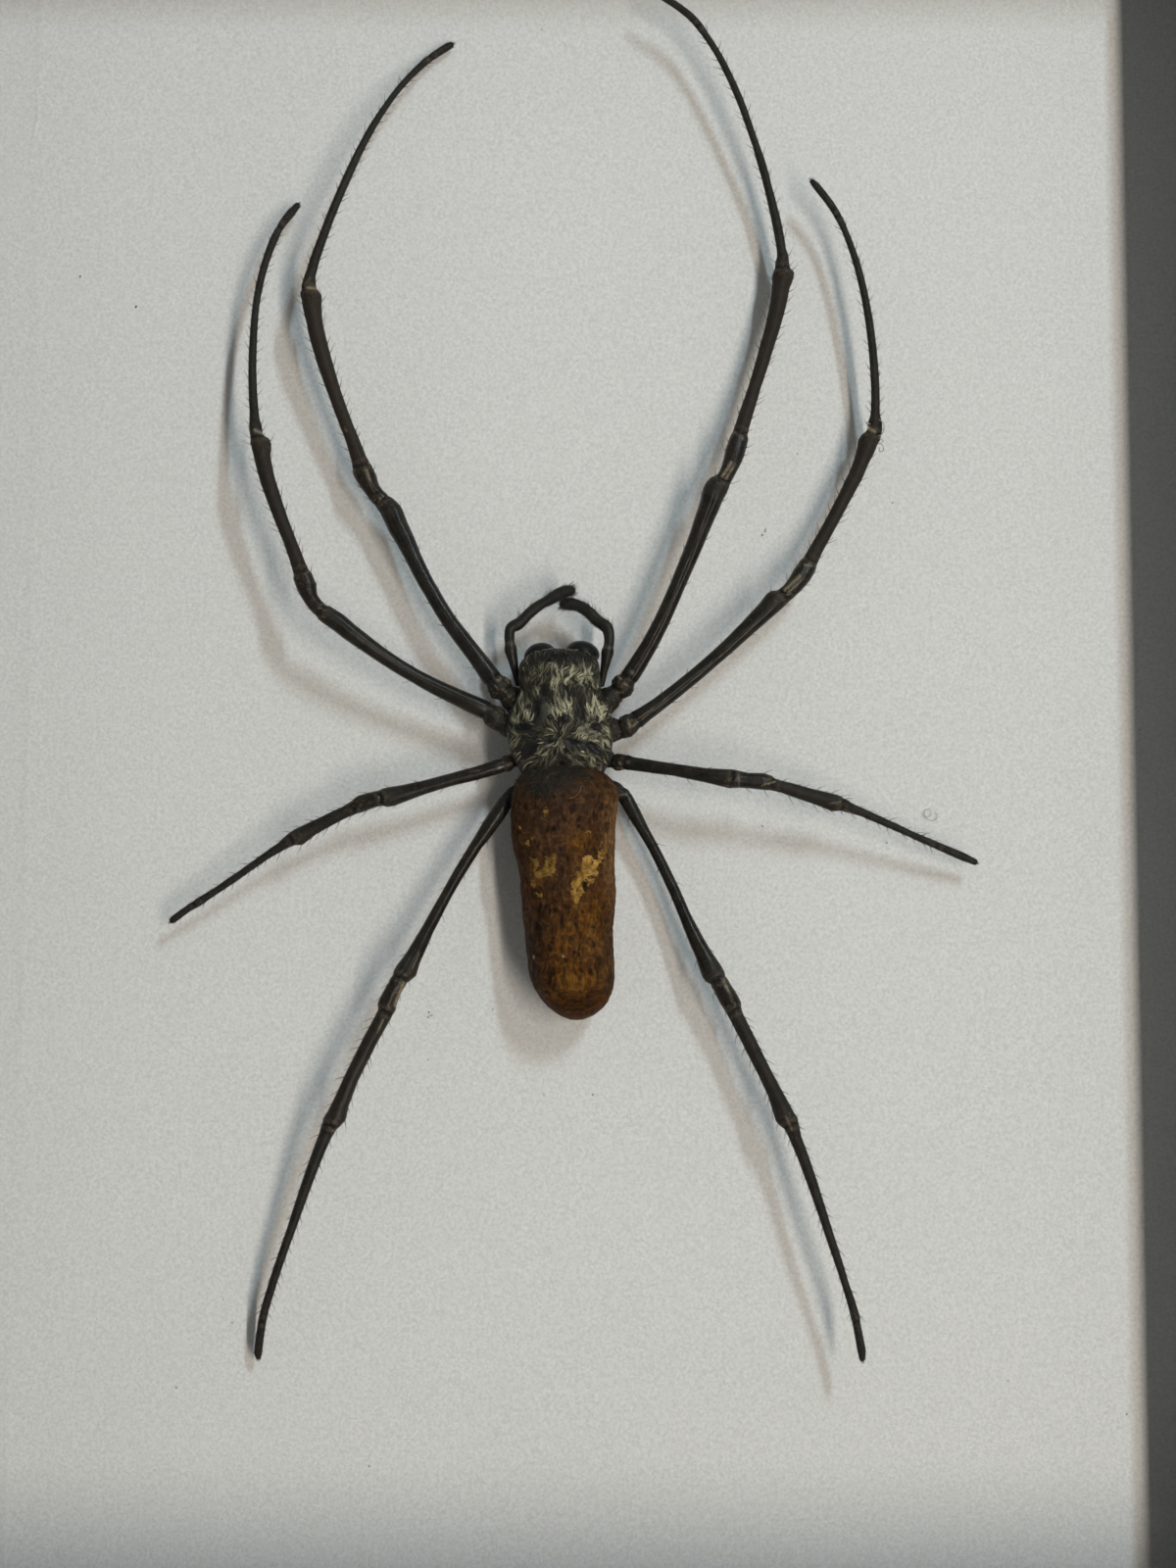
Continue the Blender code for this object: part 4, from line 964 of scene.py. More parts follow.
leg_objects = {}
for li, (name, d) in enumerate(LEGS.items()):
    P, SH, R, G, RED, SEG, RIDGE = leg_stations(name, d)
    # soften the corners between parts
    ker = np.array([1, 2, 3, 2, 1.0]) / 9
    Pp = np.vstack([P[:1].repeat(2, 0), P, P[-1:].repeat(2, 0)])
    P = sum(ker[k] * Pp[k:k + len(P)] for k in range(5))
    t_, s_, u_ = frames(P)
    for _ in range(3):                          # steady cross-sections
        for vec in (t_, s_, u_):
            vec[1:-1] = (vec[:-2] + 2 * vec[1:-1] + vec[2:]) / 4
            vec /= np.linalg.norm(vec, axis=1)[:, None]
    P = P + SH[:, None] * s_
    n, c = len(P), len(ANG)
    s_len = np.r_[0, np.cumsum(np.linalg.norm(np.diff(P, axis=0), axis=1))]
    a = ANG[None, :]
    rr = np.repeat(R[:, None], c, 1)
    # height of the cross-section: the same without the sharp shoulders
    Rs = R.copy()
    for _ in range(10):
        Rs[1:-1] = (Rs[:-2] + 2 * Rs[1:-1] + Rs[2:]) / 4
    flatten = (0.45 + 0.55 * Rs / R)[:, None]
    shell = SEG[:, None] >= 2
    # longitudinal ridge with a groove beside it, on the upper side
    a1, a2 = math.radians(62), math.radians(84)
    fem = ((SEG == 2) | (SEG == 3))[:, None]
    groove = 0.060 * np.exp(-((a - a2) / 0.10) ** 2) - 0.035 * np.exp(-((a - a1) / 0.16) ** 2)
    fadeg = (0.6 + 0.4 * vnoise(np.stack([s_len * 0.25, s_len * 0, s_len * 0], -1), 60 + li))
    rr *= 1 - np.where(fem, groove * fadeg[:, None], 0.0)
    tibm = ((SEG == 4) | (SEG == 5))[:, None]
    rr *= 1 - np.where(tibm, 0.03 * np.exp(-((a - a1) / 0.12) ** 2), 0.0)
    # fine lengthwise wrinkles and small dents
    q3 = np.stack([np.cos(a) * np.ones((n, 1)) * 2.4, np.sin(a) * np.ones((n, 1)) * 2.4,
                   np.repeat(s_len[:, None], c, 1) * 0.55], -1).reshape(-1, 3)
    rr *= 1 + 0.022 * fbm(q3 * 1.6, 3, 100 + li).reshape(n, c)
    q4 = q3 * np.array([3.2, 3.2, 1.1])
    rr *= 1 + 0.012 * vnoise(q4, 200 + li).reshape(n, c)
    # lumpy coxa and trochanter, and small dents near the joints
    q5 = q3 * np.array([0.9, 0.9, 2.2])
    rr *= 1 + np.where(SEG[:, None] <= 1, 0.17, 0.0) * fbm(q5, 4, 300 + li, 0.62).reshape(n, c)
    top_side = np.clip(np.sin(a), 0, 1)
    uneven = 0.75 + 0.55 * vnoise(q3 * np.array([1.2, 1.2, 0.6]), 360 + li).reshape(n, c)
    rr *= 1 + RIDGE[:, None] * (0.30 + 0.70 * top_side) * uneven
    near = np.zeros(n)
    for k in range(2, 6):
        cut = s_len[SEG == k]
        if len(cut):
            near = np.maximum(near, np.exp(-((s_len - cut[-1]) / 1.5) ** 2))
    rr *= 1 + 0.055 * near[:, None] * vnoise(q3 * np.array([1.6, 1.6, 3.4]),
                                             350 + li).reshape(n, c) * np.maximum(np.sin(a), 0)
    ring = P[:, None, :] + rr[..., None] * (np.cos(a)[..., None] * s_[:, None, :]
                                            + (0.97 * np.sin(a) * flatten)[..., None]
                                            * u_[:, None, :])
    shell_pile = Pile()
    verts = ring.reshape(-1, 3)
    quads = grid_quads(n, c, wrap=True)
    # rounded ends
    cap0 = P[0] - t_[0] * R[0] * 0.4
    cap1 = P[-1] + t_[-1] * R[-1] * 0.7
    nv = len(verts)
    verts = np.vstack([verts, cap0, cap1])
    j = np.arange(c)
    tris = np.concatenate([np.stack([np.full(c, nv), j, (j + 1) % c], -1),
                           np.stack([np.full(c, nv + 1), (n - 1) * c + (j + 1) % c,
                                     (n - 1) * c + j], -1)])
    rep = lambda x: np.r_[np.repeat(x, c), x[0], x[-1]]
    lx, ly = pix(verts)
    # pale joint skin on the lips beside the grooves, then the streaks, partly painted highlights, on the
    # upper side only
    skin_and_highlight_v = rep(0.16 * np.clip(RIDGE / 0.075, 0, 1) * (SEG >= 2)) \
        * (0.5 + 0.5 * vnoise(verts * 2.6, 370 + li))
    upv = np.r_[np.repeat(np.sin(a) > -0.1, n, 0).ravel(), False, False]
    for x0, y0, x1, y1, hw, wt in SKIN_AND_HIGHLIGHT_STREAKS[name]:
        ex, ey = x1 - x0, y1 - y0
        f = np.clip(((lx - x0) * ex + (ly - y0) * ey) / (ex * ex + ey * ey), 0, 1)
        dist = np.hypot(lx - x0 - f * ex, ly - y0 - f * ey)
        skin_and_highlight_v = np.maximum(skin_and_highlight_v, wt * np.exp(-(dist / hw) ** 2) * upv)
    crumb = np.where(SEG <= 1, 1.0, 0.75 * near)
    shell_pile.add(verts, quads, tris, gloss=rep(G), tan=skin_and_highlight_v, red=rep(RED),
                   crumb=rep(crumb), seam=rep(np.clip(-RIDGE * 5.5, 0, 0.75)))
    # setae
    hair = Pile()
    part_len = {k: s_len[SEG == k] for k in range(7)}
    for k, count, ln, lo, hi in ((0, 14, 0.5, 25, 60), (1, 10, 0.5, 25, 60),
                                 (2, 34, 0.42, 25, 50), (3, 12, 0.55, 30, 60),
                                 (4, 84, 0.60, 22, 44), (5, 190, 0.50, 20, 42),
                                 (6, 96, 0.34, 18, 45)):
        idx = np.where(SEG == k)[0]
        # evenly over the length although the rings are not
        w = np.gradient(s_len)[idx]
        i = rng.choice(idx, count, p=w / w.sum())
        ang = rng.uniform(-0.35, math.pi + 0.35, count)
        sd = np.cos(ang)[:, None] * s_[i] + np.sin(ang)[:, None] * u_[i]
        root = P[i] + R[i][:, None] * sd * 0.97
        L = ln * rng.uniform(0.5, 1.2, count)
        bristles(hair, root, sd, t_[i], L, rng.uniform(0.020, 0.031, count),
                 np.radians(rng.uniform(lo, hi, count)))
    # stout sparse bristles standing off both sides
    for k, gap, ln in ((2, 4.6, 0.85), (3, 2.2, 1.10), (4, 1.35, 1.15), (5, 1.45, 1.00)):
        idx = np.where(SEG == k)[0]
        s0, s1 = s_len[idx[0]], s_len[idx[-1]]
        for sd0 in (-0.25, math.pi + 0.25):
            at_ = np.arange(s0 + rng.uniform(0.2, gap), s1 - 0.3, gap)
            at_ = at_ + rng.uniform(-0.35, 0.35, len(at_)) * gap
            i = np.clip(np.searchsorted(s_len, at_), idx[0], idx[-1])
            if len(i) == 0:
                continue
            ang = sd0 + rng.uniform(-0.3, 0.5, len(i)) * (1 if sd0 < 1 else -1)
            sd = np.cos(ang)[:, None] * s_[i] + np.sin(ang)[:, None] * u_[i]
            root = P[i] + R[i][:, None] * sd * 0.97
            bristles(hair, root, sd, t_[i], ln * rng.uniform(0.65, 1.15, len(i)),
                     rng.uniform(0.046, 0.062, len(i)),
                     np.radians(rng.uniform(34, 62, len(i))))
    # claws
    for sgn in (-1, 1):
        c0 = P[-1] + t_[-1] * R[-1] * 0.5 + sgn * s_[-1] * 0.08
        path = np.array([c0, c0 + t_[-1] * 0.16 + u_[-1] * 0.03,
                         c0 + t_[-1] * 0.30 - u_[-1] * 0.05,
                         c0 + t_[-1] * 0.34 - u_[-1] * 0.17])
        path = spline(path, np.linspace(0, 1, 7))
        v, q, t = strands(path[None], np.linspace(0.05, 0.012, 7)[None], 4,
                          ref=tuple(s_[-1]))
        hair.add(v, q, t)
    ob = with_slot(shell_pile, hair, "spider_" + name, [leg_mat, bristle_mat])
    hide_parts(name)
    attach(ob, "root")
    leg_objects[name] = ob

# a shred of dry skin curled at the second right leg's last joint
m = Mat("dry_skin", 0.4)
m.colour(m.ramp(m.noise(4.0, 2.0), [(0.3, (0.22, 0.19, 0.14)), (0.7, (0.56, 0.52, 0.43))]))
pile = Pile()
for pts in ([(897, 428, 5.0), (901, 431, 5.3), (902, 437, 5.3), (900, 443, 5.0), (896, 445, 4.7)],
            [(897, 447, 4.6), (900, 449, 4.5), (901, 451, 4.3)],
            [(897, 452, 3.4), (901, 455, 3.2), (901, 460, 3.1), (898, 461, 3.1), (897, 456, 3.3)],
            [(887, 437, 4.6), (884, 431, 4.9), (888, 433, 5.0)]):
    path = spline(np.array([spot(*p) for p in pts]), np.linspace(0, 1, 18))
    v, q, t = strands(path[None], np.full((1, 18), 0.060), 5, flat=0.5)
    pile.add(v, q, t)
shred = pile.object("skin_shreds", m.m)
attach(shred, "root")

# ---------------------------------------------------------------------- palps
# centre line as image points with heights, and widths in pixels
PALPS = {
    "palp_left": ([(529, 699, 4.4), (526, 686, 4.8), (523.5, 674, 5.2), (520.8, 661, 5.3),
                   (519.8, 650, 5.3), (521.5, 641, 5.1), (530, 636, 5.0), (540, 626, 5.0),
                   (550, 618, 4.9), (560, 612.5, 4.9), (570, 606.5, 4.8), (579, 603, 4.8),
                   (586, 602, 4.7)],
                  [(0, 6), (0.12, 8), (0.22, 11), (0.285, 13), (0.31, 11.2), (0.34, 10.6),
                   (0.42, 11.2), (0.49, 12.6), (0.54, 11.0), (0.62, 11.0), (0.72, 10.6), (0.77, 10.0),
                   (0.82, 11.4), (0.93, 11.6), (0.985, 8.5), (1, 5.5)]),
    "palp_right": ([(613.5, 700, 4.4), (616, 686, 4.8), (618.5, 674, 5.2), (620.8, 661, 5.3),
                    (621.8, 650, 5.2), (619.5, 641, 5.0), (609, 633, 4.7), (600, 624, 4.5),
                    (590, 618, 4.3), (580, 616, 4.2), (572, 617, 4.1)],
                   [(0, 6), (0.13, 8), (0.24, 11), (0.31, 13), (0.34, 11.2), (0.38, 10.8),
                    (0.46, 11.4), (0.53, 12.8), (0.60, 11.8), (0.70, 12.4), (0.78, 11.6), (0.82, 11.0),
                    (0.88, 11.8), (0.95, 11.0), (0.985, 8.2), (1, 5.5)]),
}
for pi, (name, (pts, widths)) in enumerate(PALPS.items()):
    line = np.array([spot(*p) for p in pts])
    n = 90
    tt = np.linspace(0, 1, n)
    P = spline(line, tt)
    R = curve(widths, tt) / 2 / PXMM
    t_, s_, u_ = frames(P)
    a = np.radians(np.arange(0, 360, 13.85))[None, :]
    c = a.shape[1]
    s_len = np.r_[0, np.cumsum(np.linalg.norm(np.diff(P, axis=0), axis=1))]
    q3 = np.stack([np.cos(a) * np.ones((n, 1)) * 2, np.sin(a) * np.ones((n, 1)) * 2,
                   np.repeat(s_len[:, None], c, 1) * 1.2], -1).reshape(-1, 3)
    rr = R[:, None] * (1 + 0.085 * fbm(q3 * 1.3, 4, 500 + pi, 0.62).reshape(n, c))
    ring = P[:, None, :] + rr[..., None] * (np.cos(a)[..., None] * s_[:, None, :]
                                            + np.sin(a)[..., None] * u_[:, None, :])
    verts = np.vstack([ring.reshape(-1, 3), P[0] - t_[0] * R[0] * 0.5,
                       P[-1] + t_[-1] * R[-1] * 0.6])
    j = np.arange(c)
    tris = np.concatenate([np.stack([np.full(c, n * c), j, (j + 1) % c], -1),
                           np.stack([np.full(c, n * c + 1), (n - 1) * c + (j + 1) % c,
                                     (n - 1) * c + j], -1)])
    tan = (0.16 * np.exp(-((tt - 0.315) / 0.012) ** 2) if pi == 0
           else 0.16 * np.exp(-((tt - 0.335) / 0.012) ** 2))
    gl = np.interp(tt, [0, 0.3, 0.5, 0.75, 1], [0.7, 0.7, 0.5, 0.1, 0.0])
    shell_pile, hair = Pile(), Pile()
    rep = lambda x: np.r_[np.repeat(x, c), x[0], x[-1]]
    shell_pile.add(verts, grid_quads(n, c, wrap=True), tris, gloss=rep(gl),
                   tan=rep(tan), red=rep(np.zeros(n)))
    # short dense fur on the last part, longer bristles outwards
    for count, lo_t, hi_t, ln, r0, r1, sw in (
            (800, 0.76, 1.0, 0.34, 0.014, 0.022, (20, 55)),
            (300, 0.50, 0.80, 0.42, 0.014, 0.022, (25, 55)),
            (60, 0.05, 0.50, 0.24, 0.012, 0.018, (25, 50))):
        i = rng.integers(int(lo_t * (n - 1)), int(hi_t * (n - 1)) + 1, count)
        ang = rng.uniform(0, 2 * math.pi, count)
        sd = np.cos(ang)[:, None] * s_[i] + np.sin(ang)[:, None] * u_[i]
        bristles(hair, P[i] + R[i][:, None] * sd * 0.96, sd, t_[i],
                 ln * rng.uniform(0.6, 1.3, count), rng.uniform(r0, r1, count),
                 np.radians(rng.uniform(*sw, count)))
    outer = -1.0 if pi == 0 else 1.0        # the side away from the jaws
    for count, lo_t, hi_t, ln in ((15, 0.50, 0.80, 1.15), (10, 0.78, 0.98, 0.95)):
        i = rng.integers(int(lo_t * (n - 1)), int(hi_t * (n - 1)) + 1, count)
        ang = rng.uniform(-0.5, 1.2, count)
        sd = outer * np.cos(ang)[:, None] * s_[i] + np.sin(ang)[:, None] * u_[i]
        bristles(hair, P[i] + R[i][:, None] * sd * 0.96, sd, t_[i],
                 ln * rng.uniform(0.6, 1.1, count), rng.uniform(0.030, 0.042, count),
                 np.radians(rng.uniform(40, 68, count)))
    # bushy underside near the tip
    count = 130
    i = rng.integers(int(0.80 * (n - 1)), n, count)
    ang = rng.uniform(-0.3, 0.9, count)
    sd = -outer * np.cos(ang)[:, None] * s_[i] + np.sin(ang)[:, None] * u_[i]
    bristles(hair, P[i] + R[i][:, None] * sd * 0.9, sd, t_[i],
             0.62 * rng.uniform(0.6, 1.3, count), rng.uniform(0.014, 0.022, count),
             np.radians(rng.uniform(25, 60, count)))
    ob = with_slot(shell_pile, hair, "spider_" + name, [leg_mat, bristle_mat])
    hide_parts(name)
    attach(ob, "root")

# ------------------------------------------------------------------- prosoma
PXB = 8.9                                    # pixels to the mm at its height
RIM = 6.2
# image row, left edge, right edge, dome height above the rim in mm
OUTLINE = [(660, 556, 590, 0.45), (661.5, 549, 596, 0.9), (664.5, 541.5, 603, 1.45),
           (669, 535, 608, 1.95), (675, 530.5, 611, 2.35), (683, 529, 612, 2.7),
           (692, 529, 612.5, 3.0), (700, 530, 613.5, 3.1), (708, 528, 616, 3.1),
           (715, 524.5, 619, 3.05), (723, 520.5, 622, 3.1), (731, 518, 624.5, 3.2),
           (740, 516.5, 626, 3.3), (750, 517, 626, 3.2), (759, 519, 625, 3.0),
           (768, 521.5, 623.5, 2.8), (776, 525.5, 621, 2.4), (784, 529.5, 618, 1.95),
           (791, 535.5, 613.5, 1.4), (797, 543, 606, 0.9), (801, 552, 598, 0.45)]
oy = np.array([spot(0, o[0], 8.2)[1] for o in OUTLINE])
ol = np.array([spot(o[1], o[0], 7.2)[0] for o in OUTLINE])
orr = np.array([spot(o[2], o[0], 7.2)[0] for o in OUTLINE])
od = np.array([o[3] for o in OUTLINE])
Y0, Y1 = oy[0], oy[-1]


def flat_pix(x, y, z=9.0):
    return pix(np.stack([x, y, np.full_like(x, z)], -1))


def hull(y):
    """Left edge, right edge and dome height at y (mm)."""
    u = -np.asarray(y, float)
    return (curve(list(zip(-oy, ol)), u), curve(list(zip(-oy, orr)), u),
            curve(list(zip(-oy, od)), u))


def ovals(px, py, table, power=1.0):
    """Sum of soft ovals: image x, y, half sizes, turn (degrees, clockwise in
    the image), weight."""
    out = np.zeros_like(px)
    for cx, cy, a, b, deg, h in table:
        c, s = math.cos(math.radians(deg)), math.sin(math.radians(deg))
        dx, dy = px - cx, py - cy
        u, w = (dx * c + dy * s) / a, (-dx * s + dy * c) / b
        out += h * np.exp(-(u * u + w * w) ** power)
    return out


PITS = [(533, 741.5, 8.5, 3.2, 4, 1.0), (539.5, 764.5, 10, 5.4, -32, 1.0),
        (608.5, 741.0, 6.2, 3.6, 8, 1.0), (604.5, 762.5, 9.0, 4.0, 34, 1.0)]
RELIEF = [(p[0], p[1], p[2] * 1.1, p[3] * 1.25, p[4], -0.55) for p in PITS] + [
    (553, 706, 3.2, 9, -28, -0.30), (546, 724, 4.0, 11, -8, -0.42),
    (592, 723, 5.0, 11, 6, -0.42), (577, 702, 4, 2.2, 0, -0.2),
    (570, 748, 1.4, 9, 0, -0.20), (555, 752, 6, 2.6, -15, -0.15),
    (584, 757, 9, 2.6, 12, -0.32), (561, 757, 7, 2.4, -12, -0.28),
    (566, 768, 1.7, 3.6, 0, -0.30), (577, 766, 1.8, 3.2, 0, -0.28),
    (573, 779, 3.4, 1.7, 0, -0.30), (551, 778, 2, 9, 34, -0.18),
    (544, 774, 2, 8, 40, -0.15), (586, 776, 2, 9, -30, -0.20),
    (594, 774, 2, 9, -42, -0.20), (573, 669, 30, 3.5, 0, -0.10),
    (559.5, 727, 8.0, 11, 0, 0.66), (576.5, 730, 7.6, 9.0, 0, 0.70),
    (564, 749, 4.6, 7.5, 0, 0.20), (577.5, 749, 5.4, 7.5, 0, 0.22),
    (555, 718, 7, 1.6, 38, 0.12), (536, 726, 2.4, 11, -24, 0.22),
    (529, 725, 2.2, 10, 18, 0.16), (603.5, 727, 3.0, 14, 10, 0.26),
    (612, 722, 3.0, 12, -18, 0.14), (570, 764, 1.6, 6, 0, 0.16),
    (567.5, 700, 4.5, 26, 0, 0.12), (590, 690, 12, 9, 0, 0.10)]
# bare skin without hair, smooth and grey or black
BARE = [(556.5, 726, 6.6, 9.6, 0, 1.0), (576.6, 732.5, 4.3, 4.2, 0, 1.2),
        (564, 750, 3.6, 6.0, 0, 0.40), (577.5, 750, 4.4, 6.0, 0, 0.42)]
# black: the bare tip of the right tubercle, and painted shade in the pits and grooves and on the left
# tubercle
BLACK_AND_SHADE = [(p[0], p[1], p[2] + 0.4, p[3] + 0.6, p[4], 1.0) for p in PITS] + [
    (576.7, 733.0, 4.1, 4.0, 0, 1.2), (561.6, 732.5, 3.2, 4.0, 0, 0.9),
    (566, 768, 1.8, 3.2, 0, 1.0), (577, 766, 1.9, 3.0, 0, 1.0),
    (573, 779, 3.6, 1.6, 0, 1.0), (570, 748, 1.2, 8, 0, 0.8),
    (584, 757, 9, 2.4, 12, 0.9), (561, 757, 7, 2.2, -12, 0.8),
    (577, 702, 3.6, 2.0, 0, 0.7)]
# how pale the hair is; most of its negative ovals are painted shade in the pits and grooves and on the
# left dome
PALE_AND_SHADE = [(555, 726, 7, 10, 0, -0.30), (577, 725, 8, 6, 0, 0.35), (593, 686, 12, 9, 0, 0.58), (582, 694, 10, 8, 0, 0.30), (567, 692, 5, 17, 0, 0.30),
        (604, 691, 5, 8, 0, 0.15), (604, 725, 5.5, 15, 8, 0.56), (614, 745, 8, 30, 0, 0.66),
        (600, 748, 9, 7, 0, 0.26), (608, 781, 9, 7, 20, 0.36), (523, 760, 5, 16, 0, 0.34),
        (531, 727, 7, 10, 0, 0.30), (593, 750, 7, 6, 0, 0.20), (576, 721, 8.5, 6, 0, 0.60), (584, 729, 3.5, 9, 0, 0.35), (569.5, 730, 2.2, 9, 0, 0.40),
        (552, 763, 8, 5, 0, 0.22), (570, 764, 3, 7, 0, 0.38), (563, 724, 3, 10, -20, 0.3),
        (584, 770, 8, 6, 0, 0.2), (573, 669, 36, 7, 0, -0.42), (545, 681, 15, 11, 0, 0.0),
        (540, 701, 10, 12, 0, 0.14), (556, 705, 6, 8, 0, -0.35), (578, 702, 5, 3, 0, -0.3),
        (547, 722, 5, 11, 0, -0.5), (591, 723, 6, 11, 0, -0.5), (545, 746, 7, 6, 0, -0.28),
        (583, 757, 9, 4, 8, -0.4), (575, 792, 42, 8, 0, -0.42), (533, 742, 9, 4, 0, -0.5),
        (539, 765, 10, 7, -30, -0.5), (605, 763, 9, 5, 34, -0.4), (590, 705, 12, 5, 0, -0.18),
        (600, 672, 8, 5, 0, -0.2), (531, 690, 4, 12, 0, -0.08)]


def relief(x, y):
    px, py = flat_pix(x, y)
    return ovals(px, py, RELIEF)


def carapace(x, y):
    """Height of the carapace above the paper at x, y (arrays of mm)."""
    l, r, dome = hull(y)
    u = np.clip((x - (l + r) / 2) / ((r - l) / 2), -1, 1)
    body = np.maximum(1 - np.abs(u) ** 2.6, 0.0) ** 0.60
    return RIM + dome * body + relief(x, y) * smooth(0.0, 0.35, body)


def pale(px, py):
    return np.clip(0.50 + ovals(px, py, PALE_AND_SHADE, 1.2), 0.0, 1.0)


def lie(px, py, seed):
    """Direction of the hair in the drawing plane (y up), and how much it
    wanders."""
    X, Yu = px - 573.0, 752.0 - py
    radial = np.arctan2(Yu, X)
    head = smooth(-6, 26, Yu - 8)
    conv = math.pi / 2 + (px - 568.0) * 0.012 * smooth(735, 700, py) * 0 \
        + 0.020 * (px - 568.0) * smooth(700, 735, py)
    edge = smooth(28, 44, np.abs(px - 571)) * (1 - smooth(60, 80, Yu))
    tang = math.pi / 2 - 0.012 * X * np.where(X > 0, 1, 1) * (Yu - 4) / 30.0
    vx = ((1 - head) * np.cos(2 * radial) + 1.4 * head * np.cos(2 * conv)
          + 1.1 * edge * np.cos(2 * tang))
    vy = ((1 - head) * np.sin(2 * radial) + 1.4 * head * np.sin(2 * conv)
          + 1.1 * edge * np.sin(2 * tang))
    a = 0.5 * np.arctan2(vy, vx)
    amp = 0.46 + ovals(px, py, [(591, 690, 15, 11, 0, 0.95), (614, 745, 10, 34, 0, 0.75),
                                (600, 748, 12, 10, 0, 0.7), (543, 748, 9, 9, 0, 0.5),
                                (600, 780, 12, 9, 0, 0.35), (545, 690, 12, 14, 0, 0.2)])
    q = np.stack([px * 0.17, py * 0.17, np.full_like(px, seed)], -1)
    q2 = np.stack([px * 0.34, py * 0.34, np.full_like(px, seed + 5)], -1)
    return a + amp * (1.3 * vnoise(q, 31) + 0.9 * vnoise(q2, 32))


def fibres(px, py):
    """Matted look: noise smeared along the direction of the hair."""
    def grain(x, y):
        z = np.zeros_like(x)
        return vnoise(np.stack([x * 0.74, y * 0.74, z], -1), 71) \
            + 0.60 * vnoise(np.stack([x * 1.30, y * 1.30, z], -1), 72)
    total = grain(px, py)
    for sgn in (0.0, math.pi):
        x, y = px.copy(), py.copy()
        a = lie(px, py, 2.0) + sgn
        for k in range(4):
            x = x + 0.8 * np.cos(a)
            y = y - 0.8 * np.sin(a)
            b = lie(x, y, 2.0)
            a = a + (b - a + math.pi / 2) % math.pi - math.pi / 2
            total = total + grain(x, y) * (1 - 0.10 * k)
    return total / 2.2


# bright strands: two image points, half width, strength
SHEEN = [(566.5, 675, 566, 694, 1.0, 0.42), (562.5, 688, 563, 708, 0.9, 0.32),
         (568, 684, 568.5, 696, 0.8, 0.35), (571.6, 683, 571, 698, 0.9, 0.34),
         (569, 704, 572, 719, 0.9, 0.30), (580, 681, 592, 684, 1.4, 0.42),
         (585, 688, 593, 686, 1.2, 0.40), (592, 689, 600, 694, 1.3, 0.40),
         (578, 701, 590, 699, 1.3, 0.36), (582, 694, 588, 705, 1.1, 0.35),
         (600, 700, 602, 712, 1.1, 0.42), (607, 712, 617, 724, 1.4, 0.42),
         (598, 724, 607, 714, 1.3, 0.45), (601, 733, 604, 722, 1.1, 0.30),
         (558, 718, 565, 727, 0.9, 0.45), (565.5, 727, 566.5, 739, 0.9, 0.48),
         (571.5, 727, 573, 722, 1.5, 0.60), (573, 722, 579, 720.5, 1.9, 0.75),
         (579, 720.5, 584.5, 724, 1.8, 0.70), (584.5, 724, 585.5, 734, 1.5, 0.50),
         (533, 720, 540.5, 733, 1.5, 0.40), (525, 722, 519.5, 740, 1.0, 0.34),
         (521, 748, 525, 766, 1.3, 0.42), (525.5, 766, 529, 776, 1.1, 0.30),
         (542, 741, 554, 752, 1.0, 0.20), (593, 747, 606, 741, 1.2, 0.38),
         (606, 751, 617, 744, 1.2, 0.42), (598, 757, 612, 753, 1.1, 0.40),
         (612, 760, 621, 752, 1.2, 0.42), (617, 737, 622, 750, 1.0, 0.38),
         (591, 760, 597, 752, 1.1, 0.38), (571, 757, 571.5, 768, 1.2, 0.48),
         (562, 766, 565, 774, 1.0, 0.36), (573, 764, 580, 762, 1.0, 0.36),
         (583, 768, 588, 779, 1.0, 0.30), (593, 765, 602, 782, 1.1, 0.40),
         (607, 771, 603, 782, 1.1, 0.36), (617, 771, 612, 784, 1.1, 0.38),
         (532, 779, 549, 768, 1.0, 0.18), (552, 768, 557, 779, 0.9, 0.18),
         (547, 694, 548, 706, 0.9, 0.16), (541, 688, 545, 700, 0.9, 0.16)]


def sheen(px, py):
    out = np.zeros_like(px)
    qx = px + 0.9 * vnoise(np.stack([px * 0.30, py * 0.30, px * 0], -1), 75)
    qy = py + 0.9 * vnoise(np.stack([px * 0.30, py * 0.30, px * 0], -1), 76)
    for x0, y0, x1, y1, hw, wt in SHEEN:
        ex, ey = x1 - x0, y1 - y0
        f = np.clip(((qx - x0) * ex + (qy - y0) * ey) / (ex * ex + ey * ey), 0, 1)
        d = np.hypot(qx - x0 - f * ex, qy - y0 - f * ey)
        out = np.maximum(out, wt * np.exp(-(d / hw) ** 2))
    return out


def lustre(px, py):
    """Tone of a hair: how pale its place is times the streaks."""
    blot = vnoise(np.stack([px * 0.14, py * 0.14, np.zeros_like(px)], -1), 42)
    g = np.clip(0.52 + 0.66 * fibres(px, py), 0.06, 1.6)
    return np.clip(pale(px, py) ** 1.15 * g * (1 + 0.40 * blot)
                   + sheen(px, py) * (0.45 + 0.75 * g), 0.0, 1.0)


